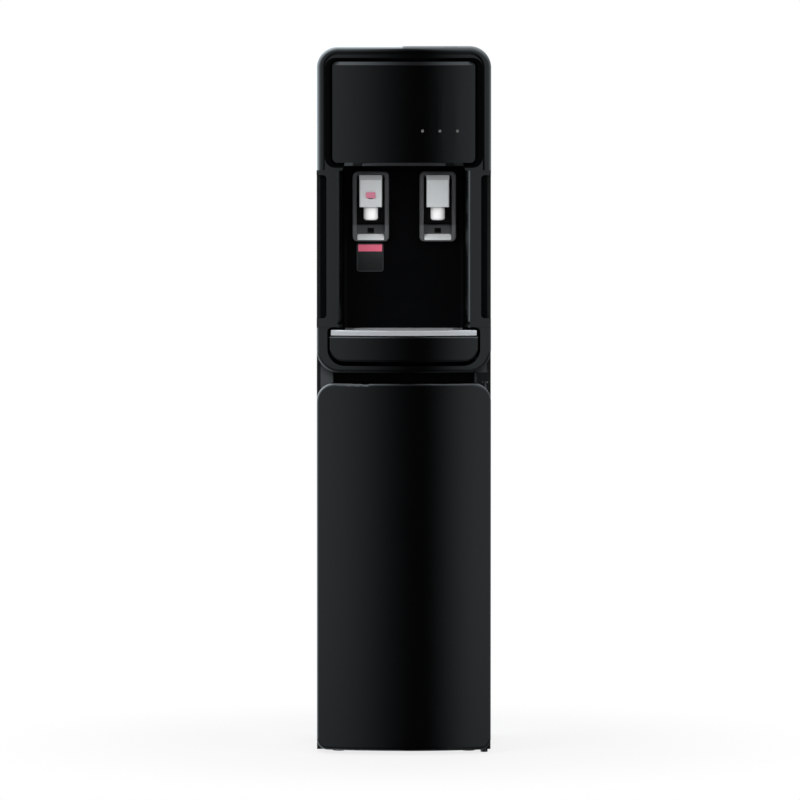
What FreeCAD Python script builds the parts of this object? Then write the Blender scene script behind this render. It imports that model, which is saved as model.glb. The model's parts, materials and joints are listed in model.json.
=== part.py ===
import FreeCAD, Part
import math
import os
from types import SimpleNamespace

import Sketcher

# A bottom load water cooler, as an assembly of separate pieces.
# +Z is up, the origin lies on the floor under the middle of the whole object,
# the front looks towards -Y and +X is to the right of somebody who faces it. Lengths are in millimetres.

SIZES = {
    # The cabinet as a whole. The front bulges in plan, as an arc over its full width.
    "body_width": 290,
    "body_depth": 360,
    "body_height": 1178,
    "bow_depth": 28,
    "front_depth": 58,
    "condenser_space": 30,
    "top_corner": 36,
    "front_edge_round": 6,
    "sheet": 1,
    "wall": 2.5,
    "running_gap": 0.3,
    "pin_clearance": 0.05,
    # Base and feet.
    "foot_height": 5,
    "foot_radius": 14,
    "foot_taper": 3,
    "foot_inset_side": 37,
    "foot_inset_front": 30,
    "foot_inset_rear": 34,
    "base_height": 35,
    "base_wall": 3,
    "base_inset": 3,
    "base_ribs": 6,
    # Side panels and front frame.
    "front_return": 6,
    "rear_return": 12,
    "cap_height": 50,
    "frame_thickness": 3,
    "frame_depth": 15,
    "frame_lip": 2.5,
    "frame_side_gap": 2.8,
    "frame_top_drop": 38,
    "scoop_half": 117,
    # Door.
    "door_bottom": 7,
    "head_gap": 15,
    "door_top_corner": 32,
    "door_bottom_corner": 18,
    "door_gap": 3.5,
    "door_rear_round": 5,
    "door_liner_recess": 1.5,
    "door_liner_thickness": 3,
    "door_rib_width": 3,
    "door_rib_depth": 9,
    "door_rib_inset": 28,
    "pull_half": 62,
    "pull_length": 26,
    "pull_depth": 20,
    "pull_corner": 8,
    "hinge_inset": 11,
    "hinge_setback": 13,
    "hinge_pin_radius": 2.5,
    "hinge_arm_radius": 6,
    "hinge_arm_thickness": 3,
    "hinge_boss_height": 20,
    "hinge_boss_drop": 42,
    "hinge_boss_lift": 11,
    "hinge_pin_depth": 12,
    "magnet_height": 60,
    "magnet_width": 12,
    "magnet_level": 330,
    "strike_thickness": 1,
    # Bottle bay.
    "bay_side_gap": 6,
    "bay_wall": 2,
    "bay_drop": 8,
    "bay_rear_gap": 4,
    "bottle_ring_radius": 100,
    "bottle_ring_width": 4,
    "bottle_ring_height": 2,
    # Probe that stands in the bottle.
    "probe_inset_side": 33,
    "probe_inset_rear": 33,
    "probe_hanger_drop": 74,
    "probe_hanger_thickness": 3.5,
    "probe_hanger_size": 66,
    "probe_cap_radius": 31,
    "probe_cap_height": 34,
    "probe_cap_wall": 2.5,
    "probe_neck_radius": 9,
    "probe_neck_height": 8,
    "dip_tube_radius": 6,
    "dip_tube_bore": 4.5,
    "dip_tube_end": 62,
    "hose_radius": 5,
    "hose_bore": 3.5,
    "hose_rise": 37,
    # Head: bezel, panel and dispensing niche.
    "ring_foot": 13,
    "bezel_bottom_corner": 40,
    "bezel_edge_round": 7,
    "ring_side": 18,
    "tray_opening_height": 63,
    "niche_height": 267,
    "tray_opening_corner": 28,
    "niche_side": 43,
    "niche_bevel": 8,
    "niche_drop": 2,
    "grip_reach": 16.5,
    "pillar_setback": 18,
    "pillar_drop": 6,
    "grip_height": 238,
    "grip_drop": 14,
    "grip_corner": 6,
    "panel_side": 22,
    "panel_height": 177,
    "panel_margin": 21,
    "panel_inset": 1.5,
    "panel_corner": 17,
    "panel_bevel": 5,
    "panel_gap": 3.5,
    "panel_side_gap": 8,
    "web_setback": 13,
    "web_thickness": 3,
    "niche_depth": 60,
    "niche_floor_lift": 3,
    "niche_wall": 2,
    "niche_flange": 6,
    # Indicator lights and their board.
    "lamp_radius": 2.5,
    "lamp_share": 0.325,
    "lamp_first": 30.8,
    "lamp_pitch": 29,
    "lamp_count": 3,
    "board_thickness": 1.6,
    "board_standoff": 9,
    "board_margin": 16,
    "rocker_room": 2,
    "cap_groove_out": 0.6,
    "cap_groove_radius": 1.8,
    "pump_foot_inset": 4,
    "pump_socket_floor": 4,
    "grille_lip": 2,
    "grille_face_wall": 3,
    "seam_share": 0.55,
    "inlet_flange": 2,
    "inlet_pin_drop": 5,
    "inlet_pin_width": 2,
    "control_post_inset": 6,
    "control_post_radius": 3,
    "relay_depth": 14,
    "relay_rise": 14,
    "relay_height": 16,
    # Taps.
    "tap_share": 0.549,
    "tap_offset": 0.8,
    "trim_width": 61,
    "trim_height": 117,
    "trim_drop": 9,
    "trim_depth": 14,
    "trim_corner": 8,
    "trim_lip": 12,
    "trim_bevel": 10,
    "trim_edge": 1.5,
    "trim_head": 7,
    "trim_side": 7,
    "pocket_depth": 20,
    "ledge_height": 18,
    "lever_width": 38,
    "lever_height": 53,
    "lever_drop": 6,
    "lever_reach": 42,
    "lever_back_reach": 16,
    "lever_wall": 2,
    "lever_brow": 8,
    "lever_edge_round": 3,
    "pivot_drop": 6,
    "pivot_reach": 22,
    "pivot_radius": 2,
    "nozzle_reach": 18,
    "nozzle_radius": 12,
    "nozzle_bore": 7,
    "nozzle_length": 22,
    "nozzle_bevel": 2.5,
    "valve_radius": 10,
    "valve_drop": 13,
    "feed_radius": 9,
    "feed_rise": 25,
    "feed_reach": 34,
    "barb_radius": 4,
    "barb_length": 6,
    "stem_radius": 3,
    "stem_rise": 6,
    "stem_length": 18,
    "stem_bore_depth": 15,
    "slider_width": 16,
    "slider_height": 10,
    "slider_rise": 20,
    "slider_travel": 3.5,
    "slider_proud": 3,
    "slider_neck": 6,
    # Drip tray.
    "tray_gap": 2,
    "tray_side_gap": 4,
    "tray_drop": 13,
    "tray_inset": 3,
    "tray_corner": 25,
    "tray_wall": 2,
    "tray_join_setback": 27,
    "tray_rear_gap": 4,
    "grille_drop": 4,
    "grille_thickness": 3,
    "grille_margin": 4,
    "grille_slot_width": 5,
    "grille_slot_pitch": 11,
    "grille_slot_rows": 7,
    "grille_slot_margin": 16,
    # Machine space.
    "shelf_gap": 1,
    "shelf_rim": 18,
    "tank_shelf_rise": 177,
    "compressor_x": 35,
    "compressor_back_gap": 21,
    "compressor_radius": 62,
    "compressor_height": 150,
    "compressor_foot": 4,
    "compressor_lift": 6,
    "compressor_shell": 14,
    "compressor_top_bevel": 22,
    "compressor_low_bevel": 12,
    "pump_width": 44,
    "pump_gap": 3,
    "pump_length": 68,
    "pump_height": 48,
    "pump_motor_radius": 17,
    "pump_socket_radius": 9,
    "pump_socket_rise": 67,
    "pump_outlet_advance": 16,
    "tank_side_gap": 2,
    "tank_back_gap": 6,
    "hot_tank_radius": 48,
    "hot_tank_height": 152,
    "hot_foam": 11,
    "tank_wall": 1,
    "cold_tank_radius": 52,
    "cold_tank_height": 190,
    "cold_foam": 15,
    "foam_floor": 10,
    "foam_lid": 16,
    "line_radius": 4,
    "line_bore": 2.8,
    "hose_bend": 8,
    "supply_drop": 9,
    # Rear of the cabinet.
    "vent_rows": 9,
    "vent_pitch": 14,
    "vent_width": 60,
    "vent_height": 4,
    "vent_rise": 27,
    "vent_x": 62,
    "condenser_inset": 40,
    "condenser_drop": 43,
    "condenser_runs": 7,
    "condenser_pitch": 52,
    "condenser_tube": 2.5,
    "wire_radius": 0.9,
    "wire_count": 10,
    "bracket_width": 10,
    "bracket_thickness": 1.5,
    "drain_rise": 77,
    "drain_radius": 6,
    "drain_bore": 4.5,
    "drain_out": 14,
    "drain_cap_radius": 11,
    "drain_cap_length": 14,
    "drain_cap_wall": 4,
    "switch_drop": 30,
    "switch_spacing": 34,
    "switch_plate_half": 42,
    "switch_plate_height": 34,
    "switch_plate_thickness": 3,
    "rocker_width": 13,
    "rocker_height": 19,
    "rocker_throw": 20,
    "rocker_depth": 8,
    "rocker_proud": 3.5,
    "rocker_sweep": 1.6,
    "rocker_pin_radius": 2,
    "switch_box_wall": 2,
    "inlet_inset": 49,
    "inlet_rise": 35,
    "inlet_width": 48,
    "inlet_height": 24,
    "inlet_depth": 20,
    "inlet_cavity_width": 25,
    "inlet_cavity_height": 16,
    "inlet_pin_pitch": 7,
    "control_x": -75,
    "control_half_width": 50,
    "control_height": 38,
    "control_gap": 4,
    "control_standoff": 9,
    "relay_pitch": 28,
    "relay_width": 20,
}

doc = FreeCAD.newDocument("water_cooler")
sheet = doc.addObject("Spreadsheet::Sheet", "sizes")
for row, (alias, number) in enumerate(SIZES.items(), start=1):
    sheet.set(f"A{row}", alias.replace("_", " "))
    sheet.set(f"B{row}", str(number))
    sheet.setAlias(f"B{row}", alias)
doc.recompute()


class Size:
    """A number together with the sheet formula that gives it."""

    def __init__(self, value, formula):
        self.value = value
        self.formula = formula

    def __add__(self, other):
        other = as_size(other)
        return Size(self.value + other.value, f"({self.formula} + {other.formula})")

    def __sub__(self, other):
        other = as_size(other)
        return Size(self.value - other.value, f"({self.formula} - {other.formula})")

    def __mul__(self, other):
        other = as_size(other)
        return Size(self.value * other.value, f"({self.formula} * {other.formula})")

    def __truediv__(self, other):
        other = as_size(other)
        return Size(self.value / other.value, f"({self.formula} / {other.formula})")

    def __radd__(self, other):
        return as_size(other) + self

    def __rsub__(self, other):
        return as_size(other) - self

    def __rmul__(self, other):
        return as_size(other) * self

    def __neg__(self):
        return as_size(0) - self


def as_size(number):
    return number if isinstance(number, Size) else Size(number, repr(number))


def root(size):
    return Size(math.sqrt(size.value), f"sqrt({size.formula})")


def bind(obj, path, size):
    obj.setExpression(path, as_size(size).formula)


s = SimpleNamespace(**{alias: Size(float(number), f"sizes.{alias}") for alias, number in SIZES.items()})

# ---------------------------------------------------------------- places shared by several pieces

half = s.body_width / 2
front = -s.body_depth / 2
rear = s.body_depth / 2
frame_face = front + s.front_depth
frame_front = frame_face + s.sheet
frame_back = frame_front + s.frame_depth
back_face = rear - s.condenser_space
back_inner = back_face - s.sheet
bow_radius = (half * half + s.bow_depth * s.bow_depth) / (2 * s.bow_depth)
bow_centre = front + bow_radius
door_back = frame_face - s.door_gap
base_top = s.foot_height + s.base_height
cap_bottom = s.body_height - s.cap_height
panel_inner = half - s.sheet
panel_top = s.body_height - s.panel_margin
panel_bottom = panel_top - s.panel_height
niche_top = panel_bottom - s.niche_drop
pillar_top = niche_top - s.pillar_drop
grip_top = niche_top - s.grip_drop
grip_bottom = grip_top - s.grip_height
trim_top = niche_top - s.trim_drop
trim_bottom = trim_top - s.trim_height
lever_top = trim_top - s.lever_drop
lever_bottom = lever_top - s.lever_height
pivot_level = lever_top - s.pivot_drop
valve_top = lever_top - s.valve_drop
nozzle_bottom = lever_bottom - s.nozzle_length
feed_level = lever_bottom + s.feed_rise
stem_level = lever_bottom + s.stem_rise
slider_level = lever_bottom + s.slider_rise
tray_opening_top = niche_top - s.niche_height
tray_opening_bottom = tray_opening_top - s.tray_opening_height
grille_top = tray_opening_top - s.grille_drop
tray_top = tray_opening_top - s.tray_drop
niche_floor = tray_opening_bottom + s.niche_floor_lift
bezel_bottom = tray_opening_bottom - s.ring_foot
door_top = bezel_bottom - s.head_gap
bay_top = door_top - s.bay_drop
probe_hanger_level = bay_top - s.probe_hanger_drop
shelf_level = bay_top + s.shelf_gap
hose_top = shelf_level + s.hose_rise
pump_socket_top = shelf_level + s.pump_socket_rise
tank_shelf_level = shelf_level + s.tank_shelf_rise
vent_level = shelf_level + s.vent_rise
inlet_level = shelf_level + s.inlet_rise
drain_level = shelf_level + s.drain_rise
niche_back = frame_face + s.niche_depth
web_front = frame_face - s.web_setback
hinge_x = half - s.hinge_inset
hinge_y = frame_face - s.hinge_setback
hinge_bore = s.hinge_pin_radius + s.pin_clearance
bay_back = back_face - s.bay_rear_gap
bay_half = panel_inner - s.bay_side_gap - s.bay_wall
tray_opening_half = half - s.ring_side
niche_half = half - s.niche_side
pillar_half = half - s.grip_reach
panel_half = half - s.panel_side
lamp_level = panel_bottom + (panel_top - panel_bottom) * s.lamp_share
tray_half = tray_opening_half - s.tray_gap
tray_inner_half = niche_half - s.tray_side_gap
grille_half = tray_half - s.grille_margin
grille_slot_half = tray_inner_half - s.grille_slot_margin
probe_x = -(bay_half - s.probe_inset_side)
probe_y = bay_back - s.bay_wall - s.probe_inset_rear
tap_x = {"hot": s.tap_offset - niche_half * s.tap_share, "cold": s.tap_offset + niche_half * s.tap_share}
lever_front = niche_back - s.lever_reach
feed_back = niche_back + s.feed_reach
tray_rear = niche_back - s.tray_rear_gap
pocket_back = niche_back + s.pocket_depth
pocket_half = s.trim_width / 2 - s.trim_side
tray_bottom = niche_floor + s.niche_wall + s.running_gap
strike_left = -half + s.front_return + s.wall + s.running_gap
switch_level = cap_bottom - s.switch_drop
condenser_half = half - s.condenser_inset
condenser_top = switch_level - s.condenser_drop
condenser_bottom = condenser_top - s.condenser_pitch * (s.condenser_runs - 1)
inlet_x = half - s.inlet_inset
tank_base = tank_shelf_level + s.sheet + s.foam_floor
hot_jacket = s.hot_tank_radius + s.hot_foam
cold_jacket = s.cold_tank_radius + s.cold_foam
tank_place = {
    "hot": (-(panel_inner - s.tank_side_gap - hot_jacket), back_inner - s.tank_back_gap - hot_jacket),
    "cold": (panel_inner - s.tank_side_gap - cold_jacket, back_inner - s.tank_back_gap - cold_jacket),
}
control_level = tank_base + s.hot_tank_height + s.foam_lid + s.control_gap
compressor_y = back_inner - s.compressor_back_gap - s.compressor_radius
pump_front = probe_y - s.pump_gap - s.pump_length
strike_back = door_back - s.door_liner_recess + s.strike_thickness
switch_window = (s.rocker_width / 2 + s.running_gap, s.rocker_height / 2 + s.rocker_sweep)
switch_box = (switch_window[0] + s.switch_box_wall, switch_window[1] + s.switch_box_wall)

# ---------------------------------------------------------------- drawing helpers

FORWARD = {"XY_Plane": 1, "XZ_Plane": -1, "YZ_Plane": 1}
kept = {}


def vector(*sizes):
    return FreeCAD.Vector(*[as_size(size).value for size in sizes])


def new_body(name):
    return doc.addObject("PartDesign::Body", name)


def new_sketch(body, plane, place):
    """A sketch parallel to one of the body's origin planes, at a place along that plane's own axis."""
    origin_plane = next(item for item in body.Origin.OriginFeatures if item.Role == plane)
    sketch = body.newObject("Sketcher::SketchObject", "Sketch")
    sketch.AttachmentSupport = [(origin_plane, "")]
    sketch.MapMode = "FlatFace"
    bind(sketch, "AttachmentOffset.Base.z", place * FORWARD[plane])
    return sketch


def hold(sketch, kind, geometry, vertex, size):
    """Dimension a sketch point from the sketch's origin."""
    size = as_size(size)
    index = sketch.addConstraint(Sketcher.Constraint(kind, -1, 1, geometry, vertex, size.value))
    sketch.setExpression(f"Constraints[{index}]", size.formula)


def hold_radius(sketch, geometry, size):
    index = sketch.addConstraint(Sketcher.Constraint("Radius", geometry, as_size(size).value))
    sketch.setExpression(f"Constraints[{index}]", as_size(size).formula)


def add_polygon(sketch, *corners):
    first = sketch.GeometryCount
    count = len(corners)
    for start, end in zip(corners, corners[1:] + corners[:1]):
        sketch.addGeometry(Part.LineSegment(vector(*start, 0), vector(*end, 0)))
    for index, (x, y) in enumerate(corners):
        following = first + (index + 1) % count
        sketch.addConstraint(Sketcher.Constraint("Coincident", first + index, 2, following, 1))
        hold(sketch, "DistanceX", first + index, 1, x)
        hold(sketch, "DistanceY", first + index, 1, y)


def add_rectangle(sketch, x_span, y_span):
    (left, right), (low, high) = x_span, y_span
    add_polygon(sketch, (left, low), (right, low), (right, high), (left, high))


def add_circle(sketch, x, y, radius):
    circle = sketch.addGeometry(Part.Circle(vector(x, y, 0), vector(0, 0, 1), as_size(radius).value))
    hold(sketch, "DistanceX", circle, 3, x)
    hold(sketch, "DistanceY", circle, 3, y)
    hold_radius(sketch, circle, radius)


def add_rounded(sketch, x_span, y_span, low_corner, high_corner):
    """A rectangle with one radius on its two lower corners and one on its two upper corners."""
    (left, right), (low, high) = [[as_size(end) for end in span] for span in (x_span, y_span)]
    first = sketch.GeometryCount
    corners = (
        (right - low_corner, low + low_corner, low_corner, (left + low_corner, low)),
        (right - high_corner, high - high_corner, high_corner, (right, low + low_corner)),
        (left + high_corner, high - high_corner, high_corner, (right - high_corner, high)),
        (left + low_corner, low + low_corner, low_corner, (left, high - high_corner)),
    )
    for turn, (x, y, radius, line_start) in enumerate(corners):
        start_angle = (turn - 1) * math.pi / 2
        circle = Part.Circle(vector(x, y, 0), vector(0, 0, 1), as_size(radius).value)
        arc = Part.ArcOfCircle(circle, start_angle, start_angle + math.pi / 2)
        sketch.addGeometry(Part.LineSegment(vector(*line_start, 0), arc.StartPoint))
        sketch.addGeometry(arc)
        hold_radius(sketch, first + 2 * turn + 1, radius)
    for index in range(8):
        following = first + (index + 1) % 8
        sketch.addConstraint(Sketcher.Constraint("Tangent", first + index, 2, following, 1))
    for line, kind, size in ((0, "DistanceY", low), (2, "DistanceX", right),
                             (4, "DistanceY", high), (6, "DistanceX", left)):
        direction = "Horizontal" if kind == "DistanceY" else "Vertical"
        sketch.addConstraint(Sketcher.Constraint(direction, first + line))
        hold(sketch, kind, first + line, 1, size)


def add_bow(sketch, half_width, inset, back):
    """The cabinet's plan: straight sides and back, and a front arc that lies inset behind the outer one."""
    radius = bow_radius - inset
    reach = root(radius * radius - as_size(half_width) * half_width)
    side = bow_centre - reach
    left, right = -as_size(half_width), as_size(half_width)
    angle = math.atan2(reach.value, right.value)
    circle = Part.Circle(vector(0, bow_centre, 0), vector(0, 0, 1), radius.value)
    arc = Part.ArcOfCircle(circle, angle - math.pi, -angle)
    sketch.addGeometry(Part.LineSegment(vector(left, back, 0), vector(right, back, 0)))
    sketch.addGeometry(Part.LineSegment(vector(right, back, 0), vector(right, side, 0)))
    sketch.addGeometry(arc)
    sketch.addGeometry(Part.LineSegment(vector(left, side, 0), vector(left, back, 0)))
    for one, one_end, other, other_end in ((0, 2, 1, 1), (1, 2, 2, 2), (2, 1, 3, 1), (3, 2, 0, 1)):
        sketch.addConstraint(Sketcher.Constraint("Coincident", one, one_end, other, other_end))
    for line in (1, 3):
        sketch.addConstraint(Sketcher.Constraint("Vertical", line))
    for vertex, x in ((1, left), (2, right)):
        hold(sketch, "DistanceX", 0, vertex, x)
        hold(sketch, "DistanceY", 0, vertex, back)
    sketch.addConstraint(Sketcher.Constraint("PointOnObject", 2, 3, -2))
    hold(sketch, "DistanceY", 2, 3, bow_centre)
    hold_radius(sketch, 2, radius)


def pad(body, plane, span, draw):
    """Draw a profile and fill it from the low to the high end of a span along the plane's axis."""
    low, high = [as_size(end) for end in span]
    sketch = new_sketch(body, plane, low)
    draw(sketch)
    feature = body.newObject("PartDesign::Pad", "Pad")
    feature.Profile = sketch
    feature.Reversed = FORWARD[plane] < 0
    bind(feature, "Length", high - low)
    return feature


def pocket(body, plane, span, draw):
    """Draw a profile and cut it from the low to the high end of a span along the plane's axis."""
    low, high = [as_size(end) for end in span]
    sketch = new_sketch(body, plane, low)
    draw(sketch)
    feature = body.newObject("PartDesign::Pocket", "Pocket")
    feature.Profile = sketch
    feature.Reversed = FORWARD[plane] > 0
    bind(feature, "Length", high - low)
    return feature


def near(edge, x=None, y=None, z=None):
    """Whether the middle of an edge lies on the given coordinates."""
    middle = edge.CenterOfMass
    pairs = ((middle.x, x), (middle.y, y), (middle.z, z))
    return all(wanted is None or abs(got - as_size(wanted).value) < 0.05 for got, wanted in pairs)


def runs_along(edge, axis):
    spans = {"x": edge.BoundBox.XLength, "y": edge.BoundBox.YLength, "z": edge.BoundBox.ZLength}
    return all(length < 0.01 for name, length in spans.items() if name != axis)


def dress_edges(body, kind, size, test):
    """Round or bevel the edges of the body's last feature that pass a test."""
    doc.recompute()
    base = body.Tip
    names = [f"Edge{index}" for index, edge in enumerate(base.Shape.Edges, start=1) if test(edge)]
    if not names:
        raise RuntimeError(f"{body.Name}: no edge to dress")
    feature = body.newObject(f"PartDesign::{kind}", kind)
    feature.Base = (base, names)
    bind(feature, "Radius" if kind == "Fillet" else "Size", size)
    return feature


def on_bow(body, inset):
    """A test for the edges that bound the body's bowed front face."""
    doc.recompute()
    radius = (bow_radius - inset).value
    faces = [face for face in body.Tip.Shape.Faces if isinstance(face.Surface, Part.Cylinder)
             and abs(face.Surface.Radius - radius) < 0.01]
    rims = [edge for face in faces for edge in face.Edges]
    return lambda edge: any(edge.isSame(rim) for rim in rims)


def bowed_block(name, half_width, inset, back, z_span, low_corner, high_corner):
    """A block with a bowed front, whose corners are rounded as they show from the front."""
    body = new_body(name)
    pad(body, "XY_Plane", z_span, lambda sketch: add_bow(sketch, half_width, inset, back))
    low, high = z_span
    for radius, level in ((low_corner, low), (high_corner, high)):
        if radius is not None:
            dress_edges(body, "Fillet", radius, lambda edge: runs_along(edge, "y") and near(edge, z=level))
    return body


def block(name, x_span, y_span, z_span):
    box = doc.addObject("Part::Box", name)
    for axis, side, (low, high) in (("x", "Length", x_span), ("y", "Width", y_span), ("z", "Height", z_span)):
        bind(box, f"Placement.Base.{axis}", low)
        bind(box, side, as_size(high) - low)
    return box


def rod(name, axis, centre, span, radius):
    """A cylinder along X, Y or Z; centre gives its place on the other two axes, in that order."""
    cylinder = doc.addObject("Part::Cylinder", name)
    turn = {"x": ((0, 1, 0), 90), "y": ((1, 0, 0), -90), "z": ((0, 0, 1), 0)}[axis]
    cylinder.Placement.Rotation = FreeCAD.Rotation(FreeCAD.Vector(*turn[0]), turn[1])
    low, high = span
    across = [other for other in "xyz" if other != axis]
    bind(cylinder, "Radius", radius)
    bind(cylinder, "Height", as_size(high) - low)
    bind(cylinder, f"Placement.Base.{axis}", low)
    for other, place in zip(across, centre):
        bind(cylinder, f"Placement.Base.{other}", place)
    return cylinder


def fuse(name, *pieces):
    joined = doc.addObject("Part::MultiFuse", name)
    joined.Shapes = list(pieces)
    joined.Refine = True
    return joined


def cut(name, base, *tools):
    tool = tools[0] if len(tools) == 1 else fuse(f"{name}_tools", *tools)
    result = doc.addObject("Part::Cut", name)
    result.Base = base
    result.Tool = tool
    result.Refine = True
    return result


def group(name, *pieces):
    compound = doc.addObject("Part::Compound", name)
    compound.Links = list(pieces)
    return compound


def tube_spine(corners, bend):
    """Straight runs joined by tangent arcs, one at each inner corner."""
    points = [vector(*corner) for corner in corners]
    bend = as_size(bend).value
    edges = []
    start = points[0]
    for before, corner, after in zip(points, points[1:], points[2:]):
        inward = (corner - before).normalize()
        outward = (after - corner).normalize()
        setback = bend * math.tan(inward.getAngle(outward) / 2)
        arc_start = corner - inward * setback
        arc_end = corner + outward * setback
        middle_way = (outward - inward).normalize()
        centre_distance = bend / math.cos(inward.getAngle(outward) / 2)
        arc_middle = corner + middle_way * (centre_distance - bend)
        edges.append(Part.LineSegment(start, arc_start).toShape())
        edges.append(Part.Arc(arc_start, arc_middle, arc_end).toShape())
        start = arc_end
    edges.append(Part.LineSegment(start, points[-1]).toShape())
    return Part.Wire(edges)


def tube_shape(corners, radius, bore, bend):
    """A six sided tube, which needs few faces in its bends."""
    spine = tube_spine(corners, bend)
    start, following = vector(*corners[0]), vector(*corners[1])
    turned = FreeCAD.Rotation(FreeCAD.Vector(0, 0, 1), following - start)
    solids = []
    for size in (radius, bore):
        if size is None:
            continue
        points = [FreeCAD.Vector(math.cos(math.pi / 3 * step), math.sin(math.pi / 3 * step), 0) * size.value
                  for step in range(7)]
        ring = Part.makePolygon([start + turned.multVec(point) for point in points])
        solids.append(spine.makePipeShell([ring], True, False))
    return solids[0] if bore is None else solids[0].cut(solids[1])


def shaped(name, shape):
    feature = doc.addObject("Part::Feature", name)
    feature.Shape = shape
    return feature


def keep(piece, label):
    """Give a finished piece its own name and list it for export."""
    piece.Label = label
    kept[label] = piece
    return piece


# ---------------------------------------------------------------- base, feet and cabinet sheets

def make_feet():
    """Four tapered rubber feet."""
    feet = []
    for side in (-1, 1):
        for y in (frame_face + s.foot_inset_front, back_face - s.foot_inset_rear):
            foot = doc.addObject("Part::Cone", "foot")
            bind(foot, "Radius1", s.foot_radius - s.foot_taper)
            bind(foot, "Radius2", s.foot_radius)
            bind(foot, "Height", s.foot_height)
            bind(foot, "Placement.Base.x", (half - s.foot_inset_side) * side)
            bind(foot, "Placement.Base.y", y)
            feet.append(foot)
    keep(group("feet_group", *feet), "feet")


def make_base_tray():
    """A moulded tray with a rim and cross ribs; the bottle bay stands on the rim and the ribs."""
    outer_half = half - s.base_inset
    y_span = (frame_back, back_face - s.base_inset)
    body = new_body("base")
    pad(body, "XY_Plane", (s.foot_height, base_top), lambda sketch: add_rectangle(
        sketch, (-outer_half, outer_half), y_span))
    bays = int(s.base_ribs.value)
    inner_low, inner_high = y_span[0] + s.base_wall, y_span[1] - s.base_wall
    bay_length = (inner_high - inner_low + s.base_wall) / bays
    for index in range(bays):
        low = inner_low + bay_length * index
        pocket(body, "XY_Plane", (s.foot_height + s.base_wall, base_top), lambda sketch: add_rectangle(
            sketch, (-outer_half + s.base_wall, outer_half - s.base_wall),
            (low, low + bay_length - s.base_wall)))
    keep(body, "base_tray")


def make_side_panel(label, side):
    """A pressed sheet with a narrow return at the front and a wider one at the rear."""
    outer, inner = half * side, panel_inner * side
    front_edge = (half - s.front_return) * side
    rear_edge = (half - s.rear_return) * side
    body = new_body(label)
    pad(body, "XY_Plane", (s.foot_height, cap_bottom), lambda sketch: add_polygon(
        sketch, (outer, frame_face), (outer, back_inner), (rear_edge, back_inner),
        (rear_edge, back_inner - s.sheet), (inner, back_inner - s.sheet), (inner, frame_front),
        (front_edge, frame_front), (front_edge, frame_face)))
    dress_edges(body, "Fillet", s.sheet, lambda edge: runs_along(edge, "z") and near(edge, x=outer))
    keep(body, label)


def make_top_cover():
    """A cap with rounded long edges, open at the bottom and towards the front."""
    y_span = (frame_face, back_face)
    body = new_body("cover")
    pad(body, "XZ_Plane", y_span, lambda sketch: add_polygon(
        sketch, (-half, cap_bottom), (half, cap_bottom), (half, s.body_height), (-half, s.body_height)))
    dress_edges(body, "Fillet", s.top_corner,
                lambda edge: runs_along(edge, "y") and near(edge, z=s.body_height))
    inner = new_body("cover_hollow")
    pad(inner, "XZ_Plane", (frame_face - s.wall, back_face - s.wall), lambda sketch: add_polygon(
        sketch, (-half + s.wall, cap_bottom - s.wall), (half - s.wall, cap_bottom - s.wall),
        (half - s.wall, s.body_height - s.wall), (-half + s.wall, s.body_height - s.wall)))
    dress_edges(inner, "Fillet", s.top_corner - s.wall,
                lambda edge: runs_along(edge, "y") and near(edge, z=s.body_height - s.wall))
    keep(cut("cover_shell", body, inner), "top_cover")


def make_rear_panel():
    """The flat back sheet, with vent slots beside the compressor and holes for what passes through."""
    side = panel_inner - s.running_gap
    body = new_body("rear_sheet")
    pad(body, "XZ_Plane", (back_inner, back_face), lambda sketch: add_rectangle(
        sketch, (-side, side), (s.foot_height, cap_bottom)))
    through = (back_inner - s.sheet, back_face + s.sheet)
    for x_side in (-1, 1):
        for slot in range(int(s.vent_rows.value)):
            low = vent_level + s.vent_pitch * slot
            middle = s.vent_x * x_side
            reach = s.vent_width / 2
            if x_side > 0 and low.value < (inlet_level + s.inlet_height).value:
                continue
            if x_side < 0 and abs(low.value - drain_level.value) < s.vent_pitch.value:
                continue
            pocket(body, "XZ_Plane", through, lambda sketch: add_rectangle(
                sketch, (middle - reach, middle + reach), (low, low + s.vent_height)))
    pocket(body, "XZ_Plane", through, lambda sketch: add_circle(
        sketch, tank_place["hot"][0], drain_level, s.drain_radius + 1))
    inlet_half = s.inlet_cavity_width / 2 + s.wall
    pocket(body, "XZ_Plane", through, lambda sketch: add_rectangle(
        sketch, (inlet_x - inlet_half, inlet_x + inlet_half),
        (inlet_level - s.inlet_cavity_height / 2 - s.wall,
         inlet_level + s.inlet_cavity_height / 2 + s.wall)))
    window_half = s.switch_spacing / 2 + switch_box[0] + s.running_gap
    window_rise = switch_box[1] + s.running_gap
    pocket(body, "XZ_Plane", through, lambda sketch: add_rectangle(
        sketch, (-window_half, window_half), (switch_level - window_rise, switch_level + window_rise)))
    keep(body, "rear_panel")


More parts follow.
